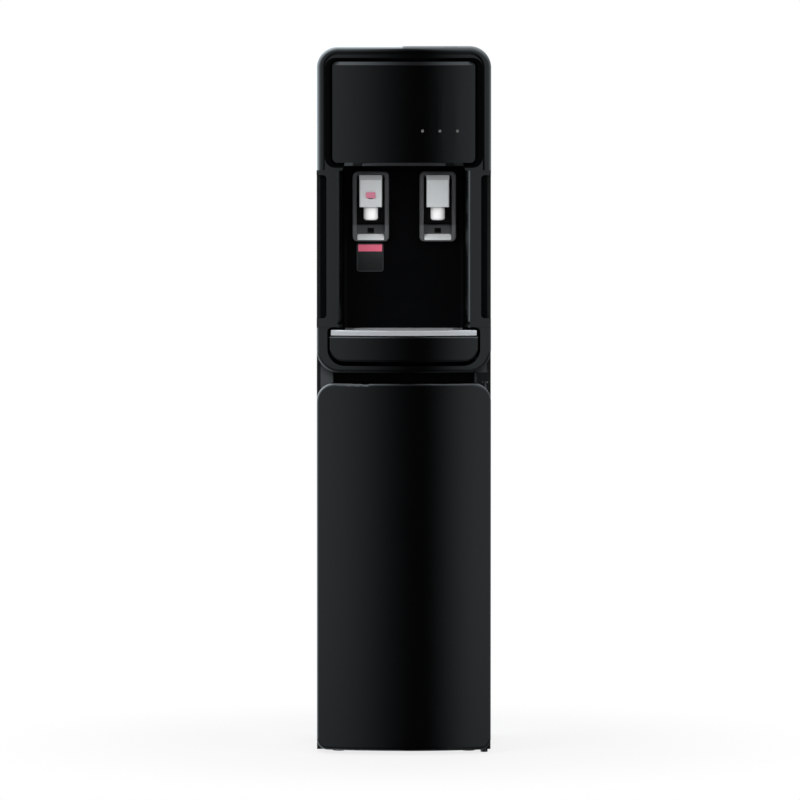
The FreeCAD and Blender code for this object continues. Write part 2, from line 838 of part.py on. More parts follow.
def make_front_frame():
    """The moulded frame in two parts, one round the bay's mouth and one round the head.

    Each has a thin face with stiffening lips, and the upper part a finger recess above the door.
    """
    side = half - s.frame_side_gap
    top = s.body_height - s.frame_top_drop
    face = (frame_front, frame_front + s.frame_thickness)
    bay_span = ((-bay_half, bay_half), (base_top + s.bay_wall, bay_top - s.bay_wall))
    head_half = niche_half + s.niche_wall + s.running_gap
    head_span = ((-head_half, head_half),
                 (niche_floor - s.running_gap, top - s.cap_height))
    body = new_body("frame")
    pad(body, "XZ_Plane", face, lambda sketch: add_rectangle(sketch, (-side, side), (s.foot_height, top)))
    lip = s.frame_lip
    pad(body, "XZ_Plane", (face[1], frame_back), lambda sketch: (
        add_rectangle(sketch, (-side, side), (s.foot_height, top)),
        add_rectangle(sketch, (-side + lip, side - lip), (s.foot_height + lip, top - lip))))
    pad(body, "XZ_Plane", (face[1], frame_back), lambda sketch: (
        add_rectangle(sketch, (-head_half - lip, head_half + lip),
                      (head_span[1][0] - lip, head_span[1][1] + lip)),
        add_rectangle(sketch, *head_span)))
    for level in (bay_top + s.running_gap, base_top - s.running_gap - lip):
        pad(body, "XZ_Plane", (face[1], frame_back), lambda sketch: add_rectangle(
            sketch, (-side + lip, side - lip), (level, level + lip)))
    scoop = s.scoop_half
    scoop_span = (bay_top + s.running_gap + lip, head_span[1][0] - lip)
    pad(body, "XZ_Plane", (frame_back - lip, frame_back), lambda sketch: add_rectangle(
        sketch, (-scoop - lip, scoop + lip), scoop_span))
    for side in (-scoop - lip, scoop):
        pad(body, "XZ_Plane", (face[1], frame_back),
            lambda sketch: add_rectangle(sketch, (side, side + lip), scoop_span))
    pocket(body, "XZ_Plane", face, lambda sketch: add_rectangle(sketch, (-scoop, scoop), scoop_span))
    through = (frame_front - 1, frame_back + 1)
    pocket(body, "XZ_Plane", through, lambda sketch: add_rectangle(sketch, *bay_span))
    pocket(body, "XZ_Plane", through, lambda sketch: add_rectangle(sketch, *head_span))
    joint_level = bay_span[1][1]
    keep(cut("head_frame", body, block("below_joint", (-half, half), through, (0, joint_level))), "front_frame")
    keep(cut("lower_frame", body, block("above_joint", (-half, half), through, (joint_level, s.body_height))),
         "door_frame")


# ---------------------------------------------------------------- door

def finger_pull(back, grow):
    """The pocket in the top of the door that the fingers reach down into."""
    body = new_body("pull")
    pad(body, "XY_Plane", (door_top - s.pull_depth - grow, door_top + 1), lambda sketch: add_rounded(
        sketch, (-s.pull_half - grow, s.pull_half + grow), (back - s.pull_length - grow, back + grow),
        s.pull_corner + grow, s.pull_corner + grow))
    return body


def make_door():
    outer = bowed_block("door_outer", half, 0, door_back, (s.door_bottom, door_top),
                        s.door_bottom_corner, s.door_top_corner)
    dress_edges(outer, "Fillet", s.front_edge_round, on_bow(outer, 0))
    dress_edges(outer, "Fillet", s.door_rear_round,
                lambda edge: runs_along(edge, "z") and near(edge, y=door_back))
    inner = bowed_block("door_hollow", half - s.wall, s.wall, frame_face,
                        (s.door_bottom + s.wall, door_top - s.wall),
                        s.door_bottom_corner - s.wall, s.door_top_corner - s.wall)
    dress_edges(inner, "Chamfer", s.front_edge_round / 2, on_bow(inner, s.wall))
    pull_back = door_back - s.door_liner_recess - s.door_liner_thickness - s.running_gap - s.wall
    pull_walls = finger_pull(pull_back, s.wall)
    hollow = cut("door_hollow_round_pull", inner, pull_walls)
    pin_hole = s.hinge_pin_radius + 1.5
    upper_hole = rod("upper_hole", "z", (hinge_x, hinge_y), (door_top - s.hinge_boss_drop, door_top),
                     pin_hole)
    lower_hole = rod("lower_hole", "z", (hinge_x, hinge_y),
                     (s.door_bottom - 1, s.door_bottom + s.hinge_boss_drop), pin_hole)
    keep(cut("door_shell", outer, hollow, finger_pull(pull_back, as_size(0)), upper_hole, lower_hole),
         "door_skin")

    liner_back = door_back - s.door_liner_recess
    liner_front = liner_back - s.door_liner_thickness
    gap = s.wall + s.running_gap
    body = new_body("door_back")
    span_x = (-half + gap, half - gap)
    span_z = (s.door_bottom + gap, door_top - gap)
    pad(body, "XZ_Plane", (liner_front, liner_back), lambda sketch: add_rounded(
        sketch, span_x, span_z, s.door_bottom_corner - gap, s.door_top_corner - gap))
    inset, width = s.door_rib_inset, s.door_rib_width
    rib_x = (span_x[0] + inset, span_x[1] - inset)
    rib_z = (span_z[0] + inset, span_z[1] - inset)
    rib_span = (liner_front - s.door_rib_depth, liner_front)
    pad(body, "XZ_Plane", rib_span, lambda sketch: (
        add_rectangle(sketch, rib_x, rib_z),
        add_rectangle(sketch, (rib_x[0] + width, rib_x[1] - width), (rib_z[0] + width, rib_z[1] - width))))
    for share in (0.25, 0.5, 0.75):
        level = rib_z[0] + (rib_z[1] - rib_z[0]) * share
        pad(body, "XZ_Plane", rib_span, lambda sketch: add_rectangle(
            sketch, (rib_x[0] + width, rib_x[1] - width), (level, level + width)))
    boss_x = (hinge_x - s.hinge_arm_radius, hinge_x + s.hinge_arm_radius)
    boss_y = (hinge_y - s.hinge_arm_radius, liner_front)
    for low in (door_top - s.hinge_boss_drop, s.door_bottom + s.hinge_boss_lift):
        pad(body, "XY_Plane", (low, low + s.hinge_boss_height),
            lambda sketch: add_rectangle(sketch, boss_x, boss_y))
        pocket(body, "XY_Plane", (low, low + s.hinge_boss_height),
               lambda sketch: add_circle(sketch, hinge_x, hinge_y, hinge_bore))
    keep(body, "door_liner")

    strike = block("strike", (strike_left, strike_left + s.magnet_width), (liner_back, strike_back),
                   (s.magnet_level, s.magnet_level + s.magnet_height))
    keep(strike, "strike_plate")


def make_hinges():
    arm = s.hinge_arm_radius
    tab_right = half - s.front_return - s.running_gap
    top = door_top - s.hinge_arm_thickness + 1
    level = (top, top + s.hinge_arm_thickness)
    upper = fuse(
        "upper_arm",
        block("arm", (hinge_x - arm, tab_right), (hinge_y, frame_front), level),
        rod("arm_end", "z", (hinge_x, hinge_y), level, arm),
        block("tab", (hinge_x - 2 * arm, tab_right), (frame_front - 2 * s.sheet, frame_front),
              (level[0], bezel_bottom)),
        rod("pin", "z", (hinge_x, hinge_y),
            (door_top - s.hinge_boss_drop + s.hinge_boss_height - s.hinge_pin_depth, level[0]),
            s.hinge_pin_radius))
    keep(upper, "upper_hinge")
    level = (s.foot_height - s.hinge_arm_thickness, s.foot_height)
    lower = fuse(
        "lower_arm",
        block("arm", (hinge_x - arm, hinge_x + arm), (hinge_y, frame_back + 4 * arm), level),
        rod("arm_end", "z", (hinge_x, hinge_y), level, arm),
        rod("pin", "z", (hinge_x, hinge_y), (level[0], s.door_bottom + s.hinge_boss_lift + s.hinge_pin_depth),
            s.hinge_pin_radius))
    keep(lower, "lower_hinge")


def make_magnet():
    """The magnet is stuck on the frame beside the left side panel's return."""
    magnet = block("magnet", (-half + s.front_return + s.running_gap, strike_left + s.magnet_width),
                   (strike_back + s.running_gap, frame_front),
                   (s.magnet_level, s.magnet_level + s.magnet_height))
    keep(magnet, "door_magnet")


# ---------------------------------------------------------------- bottle bay and probe

def make_bay():
    """The bottle bay: an open fronted moulded shell with a bottle ring and a hanger for the probe."""
    outer = bay_half + s.bay_wall
    y_span = (frame_front + s.frame_thickness, bay_back)
    z_span = (base_top, bay_top)
    body = new_body("bay")
    pad(body, "XY_Plane", z_span, lambda sketch: add_rectangle(sketch, (-outer, outer), y_span))
    pocket(body, "XZ_Plane", (y_span[0], bay_back - s.bay_wall), lambda sketch: add_rectangle(
        sketch, (-bay_half, bay_half), (base_top + s.bay_wall, bay_top - s.bay_wall)))
    centre_y = (frame_face + bay_back) / 2
    pad(body, "XY_Plane", (base_top + s.bay_wall, base_top + s.bay_wall + s.bottle_ring_height),
        lambda sketch: (add_circle(sketch, 0, centre_y, s.bottle_ring_radius),
                        add_circle(sketch, 0, centre_y, s.bottle_ring_radius - s.bottle_ring_width)))
    size = s.probe_hanger_size
    wall_x = -bay_half
    wall_y = bay_back - s.bay_wall
    slot = s.dip_tube_radius + 1.5
    pad(body, "XY_Plane", (probe_hanger_level, probe_hanger_level + s.probe_hanger_thickness),
        lambda sketch: add_polygon(
            sketch, (wall_x, wall_y), (wall_x, wall_y - size), (probe_x - slot, wall_y - size),
            (probe_x - slot, probe_y + slot), (probe_x + slot, probe_y + slot),
            (probe_x + slot, wall_y - size), (wall_x + size, wall_y - size), (wall_x + size, wall_y)))
    pocket(body, "XY_Plane", (bay_top - s.bay_wall, bay_top),
           lambda sketch: add_circle(sketch, probe_x, probe_y, s.hose_radius + 1.5))
    keep(body, "bay_liner")


def make_probe():
    bottom = probe_hanger_level + s.probe_hanger_thickness + s.running_gap
    top = bottom + s.probe_cap_height
    body = new_body("cap")
    pad(body, "XY_Plane", (bottom, top), lambda sketch: add_circle(sketch, probe_x, probe_y, s.probe_cap_radius))
    pocket(body, "XY_Plane", (bottom, top - s.probe_cap_wall), lambda sketch: add_circle(
        sketch, probe_x, probe_y, s.probe_cap_radius - s.probe_cap_wall))
    pad(body, "XY_Plane", (top, top + s.probe_neck_height),
        lambda sketch: add_circle(sketch, probe_x, probe_y, s.probe_neck_radius))
    pocket(body, "XY_Plane", (top - s.probe_cap_wall, top + s.probe_neck_height),
           lambda sketch: add_circle(sketch, probe_x, probe_y, s.hose_bore))
    dress_edges(body, "Chamfer", s.probe_cap_wall / 2, lambda edge: near(edge, x=probe_x, y=probe_y, z=top)
                and abs(edge.Length - 2 * math.pi * s.probe_cap_radius.value) < 0.1)
    keep(body, "probe_cap")

    tube = cut("tube",
               rod("tube_outer", "z", (probe_x, probe_y), (s.dip_tube_end, top - s.probe_cap_wall),
                   s.dip_tube_radius),
               rod("tube_bore", "z", (probe_x, probe_y), (s.dip_tube_end - 1, top), s.dip_tube_bore),
               block("tube_notch", (probe_x - s.dip_tube_radius, probe_x + s.dip_tube_radius),
                     (probe_y - s.dip_tube_bore / 2, probe_y + s.dip_tube_bore / 2),
                     (s.dip_tube_end, s.dip_tube_end + s.dip_tube_radius)))
    keep(tube, "dip_tube")
    hose = cut("hose",
               rod("hose_outer", "z", (probe_x, probe_y), (top + s.probe_neck_height, hose_top), s.hose_radius),
               rod("hose_inner", "z", (probe_x, probe_y), (top, hose_top + 1), s.hose_bore))
    keep(hose, "probe_hose")


# ---------------------------------------------------------------- head

def make_bezel():
    """The head moulding: a bowed ring, set back beside the niche, with a grip slot down each side.

    A hollow behind it leaves walls of one thickness, and a web carries the upper panel.
    """
    z_span = (bezel_bottom, s.body_height)
    reach = half + 1

    def openings(sketch_half, bottom, top, low_corner, high_corner, y_span, grow):
        body = new_body("opening")
        pad(body, "XZ_Plane", y_span, lambda sketch: add_rounded(
            sketch, (-sketch_half - grow, sketch_half + grow), (bottom - grow, top + grow),
            low_corner + grow, high_corner + grow))
        return body

    def set_back(grow):
        """The space in front of the pillars."""
        slab = block("slab", (-reach, reach), (front - 1, frame_face + grow),
                     (tray_opening_top - grow, pillar_top + grow))
        body = bowed_block("pillar_face", half + s.wall, s.pillar_setback + grow, frame_face + s.wall,
                           (tray_opening_top - s.wall - 1, pillar_top + s.wall + 1), None, None)
        return cut("pillar_space", slab, body)

    def bevels(grow):
        """The bevel along both upright edges of the niche."""
        inner_x, outer_x = niche_half + grow, niche_half + s.niche_bevel + grow
        radius = bow_radius - s.pillar_setback
        face = bow_centre - root(radius * radius - outer_x * outer_x) + grow
        body = new_body("niche_bevels")
        pad(body, "XY_Plane", (tray_opening_top - grow, pillar_top + grow), lambda sketch: add_polygon(
            sketch, (-outer_x, front - 1), (outer_x, front - 1), (outer_x, face),
            (inner_x, face + s.niche_bevel), (-inner_x, face + s.niche_bevel), (-outer_x, face)))
        return body

    def grips(grow):
        bodies = []
        for side in (-1, 1):
            inner, outer = (pillar_half - grow) * side, (half + s.wall) * side
            span = (inner, outer) if side > 0 else (outer, inner)
            body = new_body("grip")
            pad(body, "XZ_Plane", (front - 1, frame_face + 1), lambda sketch: add_rectangle(
                sketch, span, (grip_bottom - grow, grip_top + grow)))
            dress_edges(body, "Fillet", s.grip_corner,
                        lambda edge: runs_along(edge, "y") and near(edge, x=inner))
            bodies.append(body)
        return bodies

    def niche_ways(grow, web_to):
        through = (front - 1, frame_face + 1)
        upper_half = panel_half + s.panel_side_gap
        return [
            openings(tray_opening_half, tray_opening_bottom, tray_opening_top,
                     s.tray_opening_corner, s.grip_corner, through, grow),
            openings(niche_half, tray_opening_bottom + s.tray_opening_corner, niche_top,
                     s.grip_corner, s.grip_corner, through, grow),
            openings(upper_half, panel_bottom - s.panel_gap, panel_top + s.panel_gap / 2,
                     s.panel_corner, s.panel_corner, (front - 1, web_to), grow),
        ]

    outer = bowed_block("bezel_outer", half, 0, frame_face, z_span, s.bezel_bottom_corner, s.top_corner)
    dress_edges(outer, "Fillet", s.bezel_edge_round, on_bow(outer, 0))
    hollow = bowed_block("bezel_hollow", half - s.wall, s.wall, frame_face + 1,
                         (bezel_bottom + s.wall, s.body_height - s.wall),
                         s.bezel_bottom_corner - s.wall, s.top_corner - s.wall)
    dress_edges(hollow, "Chamfer", s.bezel_edge_round / 2, on_bow(hollow, s.wall))
    walls = niche_ways(s.wall, web_front + s.web_thickness)
    core = cut("bezel_core", hollow, *walls, set_back(s.wall), bevels(s.wall), *grips(s.wall))
    bare = as_size(0)
    bezel = cut("bezel", outer, core, *niche_ways(bare, web_front), set_back(bare), bevels(bare), *grips(bare))
    keep(bezel, "front_bezel")


def lamp_places():
    return [s.lamp_first + s.lamp_pitch * index for index in range(int(s.lamp_count.value))]


def make_upper_panel():
    z_span = (panel_bottom, panel_top)
    outer = bowed_block("panel_outer", panel_half, s.panel_inset, web_front, z_span,
                        s.panel_corner - s.panel_gap, s.panel_corner - s.panel_gap)
    dress_edges(outer, "Chamfer", s.panel_bevel, on_bow(outer, s.panel_inset))
    inner = bowed_block("panel_hollow", panel_half - s.wall, s.panel_inset + s.wall, frame_face,
                        (panel_bottom + s.wall, panel_top - s.wall),
                        s.panel_corner - s.panel_gap - s.wall, s.panel_corner - s.panel_gap - s.wall)
    dress_edges(inner, "Chamfer", s.panel_bevel - s.wall / 2, on_bow(inner, s.panel_inset + s.wall))
    holes = [rod("lamp_hole", "y", (x, lamp_level), (front - 1, web_front - s.board_standoff),
                 s.lamp_radius + s.pin_clearance) for x in lamp_places()]
    keep(cut("panel_shell", outer, inner, *holes), "upper_panel")

    board_front = web_front - s.board_standoff - s.board_thickness
    face_radius = bow_radius - s.panel_inset - s.running_gap
    lamps = []
    for x in lamp_places():
        face = bow_centre - root(face_radius * face_radius - x * x)
        lamps.append(rod("lamp", "y", (x, lamp_level), (face, board_front), s.lamp_radius))
    keep(group("lamp_group", *lamps), "indicator_lenses")

    first, last = lamp_places()[0], lamp_places()[-1]
    margin = s.board_margin
    board = block("board", (first - margin, last + margin), (board_front, board_front + s.board_thickness),
                  (lamp_level - margin, lamp_level + margin))
    posts = [rod("post", "y", (x, lamp_level + margin / 2 * side),
                 (board_front + s.board_thickness, web_front), s.lamp_radius)
             for x in (first - margin / 2, last + margin / 2) for side in (-1, 1)]
    keep(fuse("board_with_posts", board, *posts), "display_board")


def make_niche_liner():
    """The dispensing niche: back, walls, roof and the shelf that the drip tray slides on."""
    inner = niche_half
    outer = inner + s.niche_wall
    z_inner = (niche_floor + s.niche_wall, niche_top)
    z_outer = (niche_floor, niche_top + s.niche_wall)
    body = new_body("liner")
    pad(body, "XZ_Plane", (frame_face, niche_back + s.niche_wall),
        lambda sketch: add_rectangle(sketch, (-outer, outer), z_outer))
    flange = s.niche_flange
    pad(body, "XZ_Plane", (frame_face, frame_front), lambda sketch: add_rectangle(
        sketch, (-outer - flange, outer + flange), (niche_floor, niche_top + s.niche_wall + flange)))
    pocket(body, "XZ_Plane", (frame_face, niche_back),
           lambda sketch: add_rectangle(sketch, (-inner, inner), z_inner))
    opening = pocket_half + s.niche_wall + s.running_gap
    for x in tap_x.values():
        pocket(body, "XZ_Plane", (niche_back, niche_back + s.niche_wall), lambda sketch: add_rectangle(
            sketch, (x - opening, x + opening),
            (trim_bottom + s.trim_lip - s.niche_wall - s.running_gap,
             trim_top - s.trim_head + s.niche_wall + s.running_gap)))
    dress_edges(body, "Fillet", s.niche_wall * 4,
                lambda edge: runs_along(edge, "z") and near(edge, y=niche_back)
                and abs(abs(edge.CenterOfMass.x) - inner.value) < 0.05)
    keep(body, "niche_liner")


# ---------------------------------------------------------------- taps

def make_trim(name):
    """The frame and recess round a tap, with a sloped ledge below the nozzle."""
    x = tap_x[name]
    outer = s.trim_width / 2
    face = niche_back - s.trim_depth
    low, high = trim_bottom + s.trim_lip, trim_top - s.trim_head
    body = new_body(f"{name}_trim")
    pad(body, "XZ_Plane", (face, niche_back), lambda sketch: add_rounded(
        sketch, (x - outer, x + outer), (trim_bottom, trim_top), s.trim_corner, s.trim_corner))
    box = pocket_half + s.niche_wall
    pad(body, "XZ_Plane", (niche_back, pocket_back), lambda sketch: add_rectangle(
        sketch, (x - box, x + box), (low - s.niche_wall, high + s.niche_wall)))
    pocket(body, "XZ_Plane", (face, pocket_back - s.niche_wall), lambda sketch: add_rounded(
        sketch, (x - pocket_half, x + pocket_half), (low, high), s.trim_corner / 2, s.trim_corner / 2))
    ledge_back = pocket_back - s.niche_wall
    pad(body, "YZ_Plane", (x - pocket_half, x + pocket_half), lambda sketch: add_polygon(
        sketch, (face + s.trim_bevel, low), (ledge_back, low), (ledge_back, low + s.ledge_height)))
    pocket(body, "XZ_Plane", (pocket_back - s.niche_wall, pocket_back), lambda sketch: add_circle(
        sketch, x, feed_level, s.feed_radius + s.running_gap))
    dress_edges(body, "Chamfer", s.trim_edge, lambda edge: near(edge, y=face)
                and abs(edge.BoundBox.YLength) < 0.01
                and (abs(edge.CenterOfMass.x - x.value) > (pocket_half + 1).value
                     or edge.CenterOfMass.z < low.value - 1 or edge.CenterOfMass.z > high.value + 1))
    pocket(body, "YZ_Plane", (x - pocket_half, x + pocket_half), lambda sketch: add_polygon(
        sketch, (face - 1, low - s.trim_bevel - 1), (face + s.trim_bevel, low), (face - 1, low)))
    keep(body, f"{name}_tap_trim")


def make_tap(name):
    x = tap_x[name]
    axis_y = niche_back - s.nozzle_reach
    pivot_y = niche_back - s.pivot_reach
    nozzle_top = lever_bottom + s.lever_wall
    lug = s.valve_radius + s.lever_wall
    lug_round = lever_top - s.lever_wall - s.running_gap - pivot_level
    body = cut(
        f"{name}_valve",
        fuse(f"{name}_valve_solid",
             rod("valve", "z", (x, axis_y), (nozzle_top, valve_top), s.valve_radius),
             rod("feed", "y", (x, feed_level), (axis_y, feed_back), s.feed_radius),
             rod("barb", "y", (x, feed_level), (feed_back, feed_back + s.barb_length), s.barb_radius),
             rod("lug", "x", (pivot_y, pivot_level), (x - lug, x + lug), lug_round),
             block("lug_web", (x - s.valve_radius / 2, x + s.valve_radius / 2),
                   (pivot_y, axis_y + s.valve_radius / 2), (valve_top - 1, pivot_level))),
        rod("pin_hole", "x", (pivot_y, pivot_level), (x - lug - 1, x + lug + 1),
            s.pivot_radius + s.pin_clearance),
        rod("stem_bore", "y", (x, stem_level), (axis_y - s.valve_radius - 1,
                                                  axis_y - s.valve_radius + s.stem_bore_depth),
            s.stem_radius + s.pin_clearance))
    keep(body, f"{name}_tap_body")

    nozzle = new_body(f"{name}_spout")
    pad(nozzle, "XY_Plane", (nozzle_bottom, nozzle_top),
        lambda sketch: add_circle(sketch, x, axis_y, s.nozzle_radius))
    pocket(nozzle, "XY_Plane", (nozzle_bottom, nozzle_top),
           lambda sketch: add_circle(sketch, x, axis_y, s.nozzle_bore))
    dress_edges(nozzle, "Chamfer", s.nozzle_bevel, lambda edge: near(edge, z=nozzle_bottom)
                and edge.BoundBox.XLength > (s.nozzle_radius * 2 - 1).value)
    keep(nozzle, f"{name}_nozzle")

    pin = rod("pivot_pin", "x", (pivot_y, pivot_level), (x - s.lever_width / 2, x + s.lever_width / 2),
              s.pivot_radius)
    keep(pin, f"{name}_lever_pin")

    stem_front = lever_front + s.lever_wall + s.running_gap
    stem = new_body(f"{name}_stem")
    pad(stem, "XZ_Plane", (stem_front, stem_front + s.stem_length),
        lambda sketch: add_circle(sketch, x, stem_level, s.stem_radius))
    dress_edges(stem, "Chamfer", s.stem_radius / 4, lambda edge: near(edge, y=stem_front))
    keep(stem, f"{name}_valve_stem")

    make_lever(name, x, pivot_y)


def make_lever(name, x, pivot_y):
    """A hollow push cover, open behind and below, that turns on the pin near its top."""
    wall = s.lever_wall
    face, back = lever_front, niche_back - s.lever_back_reach
    reach = s.lever_width / 2
    lever = new_body(f"{name}_cover")
    pad(lever, "YZ_Plane", (x - reach, x + reach), lambda sketch: add_polygon(
        sketch, (back, lever_bottom), (face, lever_bottom), (face, lever_top - s.lever_brow),
        (face + s.lever_brow, lever_top), (back, lever_top)))
    dress_edges(lever, "Fillet", s.lever_edge_round,
                lambda edge: runs_along(edge, "z") and near(edge, y=face))
    pocket(lever, "YZ_Plane", (x - reach + wall, x + reach - wall), lambda sketch: add_polygon(
        sketch, (back + 1, lever_bottom - 1), (face + wall, lever_bottom - 1),
        (face + wall, lever_top - s.lever_brow - wall / 2),
        (face + s.lever_brow + wall / 2, lever_top - wall), (back + 1, lever_top - wall)))
    pocket(lever, "YZ_Plane", (x - reach, x + reach), lambda sketch: add_circle(
        sketch, pivot_y, pivot_level, s.pivot_radius + s.pin_clearance))
    if name == "hot":
        neck_half = s.slider_width / 4 + s.running_gap
        pocket(lever, "XZ_Plane", (face, face + wall), lambda sketch: add_rectangle(
            sketch, (x - neck_half, x + neck_half),
            (slider_level - s.slider_neck / 2 - s.slider_travel - s.running_gap,
             slider_level + s.slider_neck / 2 + s.running_gap)))
    keep(lever, f"{name}_lever")


def make_child_lock():
    """A slider held in the hot lever's front wall by its neck, with a plate behind the wall."""
    x = tap_x["hot"]
    face = lever_front
    wall = s.lever_wall
    gap = s.running_gap
    level = slider_level
    slider = new_body("slider")
    pad(slider, "XZ_Plane", (face - gap - s.slider_proud, face - gap), lambda sketch: add_rounded(
        sketch, (x - s.slider_width / 2, x + s.slider_width / 2),
        (level - s.slider_height / 2, level + s.slider_height / 2), s.slider_proud / 2, s.slider_proud / 2))
    pad(slider, "XZ_Plane", (face - gap, face + wall + gap), lambda sketch: add_rectangle(
        sketch, (x - s.slider_width / 4, x + s.slider_width / 4),
        (level - s.slider_neck / 2, level + s.slider_neck / 2)))
    pad(slider, "XZ_Plane", (face + wall + gap, face + wall + gap + s.sheet), lambda sketch: add_rectangle(
        sketch, (x - s.slider_width / 2 + 1, x + s.slider_width / 2 - 1),
        (level - s.slider_neck / 2, level + s.slider_neck / 2 + 1)))
    keep(slider, "child_lock_slider")


# ---------------------------------------------------------------- drip tray

def make_drip_tray():
    join = frame_face - s.tray_join_setback
    outer_front = bowed_block("tray_front", tray_half, s.tray_inset, join, (tray_bottom, tray_top),
                              s.tray_corner, None)
    dress_edges(outer_front, "Fillet", s.front_edge_round - 1, on_bow(outer_front, s.tray_inset))
    basin = block("tray_basin", (-tray_inner_half, tray_inner_half), (join, tray_rear),
                  (tray_bottom, tray_top))
    wall = s.tray_wall
    inner_front = bowed_block("tray_front_hollow", tray_half - wall, s.tray_inset + wall, join - wall,
                              (tray_bottom + wall, tray_top + 1), s.tray_corner - wall, None)
    inner_basin = block("tray_hollow", (-tray_inner_half + wall, tray_inner_half - wall),
                        (join - wall - 1, tray_rear - wall), (tray_bottom + wall, tray_top + 1))
    keep(cut("tray", fuse("tray_solid", outer_front, basin), inner_front, inner_basin), "drip_tray")

    grille_low = grille_top - s.grille_thickness
    lip_low = tray_top + s.running_gap
    plate_front = bowed_block("grille_front", grille_half, s.tray_inset + 1, join, (lip_low, grille_top),
                              None, None)
    dress_edges(plate_front, "Fillet", s.grille_thickness / 2,
                lambda edge: near(edge, z=grille_top) and edge.CenterOfMass.y < join.value - 1)
    plate_rear = block("grille_plate", (-tray_inner_half, tray_inner_half), (join, tray_rear),
                       (lip_low, grille_top))
    hollow_front = bowed_block("grille_hollow", grille_half - s.grille_lip, s.tray_inset + s.grille_face_wall, join + 1,
                               (lip_low - 1, grille_low), None, None)
    hollow_rear = block("grille_hollow_rear", (-tray_inner_half + s.grille_lip, tray_inner_half - s.grille_lip),
                        (join - s.grille_lip, tray_rear - s.grille_lip), (lip_low - 1, grille_low))
    slots = []
    for index in range(int(s.grille_slot_rows.value)):
        low = tray_rear - s.grille_slot_pitch * (index + 1)
        slots.append(block("slot", (-grille_slot_half, grille_slot_half),
                           (low, low + s.grille_slot_width), (grille_low - 1, grille_top + 1)))
    keep(cut("grille", fuse("grille_solid", plate_front, plate_rear), hollow_front, hollow_rear, *slots),
         "drip_grille")


# ---------------------------------------------------------------- machine space

def make_shelves():
    """Two folded steel shelves: one carries the compressor and the pump, the other the tanks."""
    for label, level, y_low in (("machine_shelf", shelf_level, frame_back),
                                ("tank_shelf", tank_shelf_level, niche_back + 2 * s.niche_wall)):
        rim = s.shelf_rim
        body = new_body(label)
        pad(body, "XZ_Plane", (y_low, back_inner - s.sheet), lambda sketch: add_polygon(
            sketch, (-panel_inner, level), (panel_inner, level), (panel_inner, level + rim),
            (panel_inner - s.sheet, level + rim), (panel_inner - s.sheet, level + s.sheet),
            (-panel_inner + s.sheet, level + s.sheet), (-panel_inner + s.sheet, level + rim),
            (-panel_inner, level + rim)))
        ways = {
            "machine_shelf": [(probe_x, probe_y, s.hose_radius + 1.5)],
            "tank_shelf": [(*tank_place["cold"], s.hose_radius + 1), (*tank_place["hot"], s.drain_radius + 1)],
        }[label]
        for x, y, radius in ways:
            pocket(body, "XY_Plane", (level, level + s.sheet), lambda sketch: add_circle(sketch, x, y, radius))
        keep(body, label)


def make_compressor():
    """A hermetic compressor: a bevelled pot on a foot plate with four grommets."""
    x, y, radius = s.compressor_x, compressor_y, s.compressor_radius
    floor = shelf_level + s.sheet
    plate = (floor + s.compressor_lift, floor + s.compressor_lift + s.compressor_foot)
    pot_low, pot_high = plate[1], floor + s.compressor_height
    pot_radius = radius - s.wall
    shell = s.compressor_shell
    pot = new_body("pot")
    pad(pot, "XY_Plane", (pot_low, pot_high), lambda sketch: add_circle(sketch, x, y, pot_radius))
    for bevel, level in ((s.compressor_top_bevel, pot_high), (s.compressor_low_bevel, pot_low)):
        dress_edges(pot, "Chamfer", bevel, lambda edge: near(edge, z=level))
    seam_level = pot_low + (pot_high - pot_low) * s.seam_share
    stub_y = y + pot_radius - s.compressor_top_bevel - s.line_radius * 2
    grommet_reach = radius - s.foot_radius
    solid = fuse(
        "compressor_solid", pot,
        rod("seam", "z", (x, y), (seam_level, seam_level + s.compressor_foot), radius),
        block("foot_plate", (x - radius, x + radius), (y - radius, y + radius), plate),
        rod("stub", "z", (x, stub_y), (pot_high - 1, pot_high + s.barb_length), s.line_radius),
        *[rod("grommet", "z", (x + grommet_reach * side, y + grommet_reach * end), (floor, plate[0]),
              s.foot_radius / 2) for side in (-1, 1) for end in (-1, 1)])
    room = rod("pot_room", "z", (x, y), (pot_low + shell, pot_high - shell), pot_radius - shell)
    keep(cut("compressor_hollow", solid, room), "compressor")


def make_pump():
    x = probe_x
    reach = s.pump_width / 2
    floor = shelf_level + s.sheet
    back = pump_front + s.pump_length
    head = block("pump_head", (x - reach, x + reach), (pump_front + s.pump_length / 2, back),
                 (floor, floor + s.pump_height))
    motor = rod("pump_motor", "y", (x, floor + s.pump_height / 2),
                (pump_front, pump_front + s.pump_length / 2), s.pump_motor_radius)
    foot = block("pump_foot", (x - reach + s.pump_foot_inset, x + reach - s.pump_foot_inset),
                 (pump_front, pump_front + s.pump_length / 2), (floor, floor + s.pump_height / 4))
    socket = rod("pump_socket", "z", (x, probe_y), (floor, pump_socket_top), s.pump_socket_radius)
    bridge = block("pump_bridge", (x - s.hose_bore, x + s.hose_bore), (back - 1, probe_y),
                   (floor, floor + s.pump_height / 2))
    bore = rod("pump_bore", "z", (probe_x, probe_y), (floor - 1, pump_socket_top - s.pump_socket_floor),
               s.hose_radius + s.running_gap)
    outlet = rod("pump_outlet", "z", (x, pump_front + s.pump_length / 2 - s.pump_outlet_advance),
                 (floor + s.pump_height, floor + s.pump_height + s.barb_length), s.hose_radius)
    keep(cut("pump", fuse("pump_solid", head, motor, foot, socket, bridge, outlet), bore), "water_pump")


def port_front(name, jacket):
    """How far forward a tank's outlet stands, just clear of its jacket."""
    centre_x, centre_y = tank_place[name]
    reach = tap_x[name] - centre_x
    return centre_y - root(jacket * jacket - reach * reach) - s.line_radius


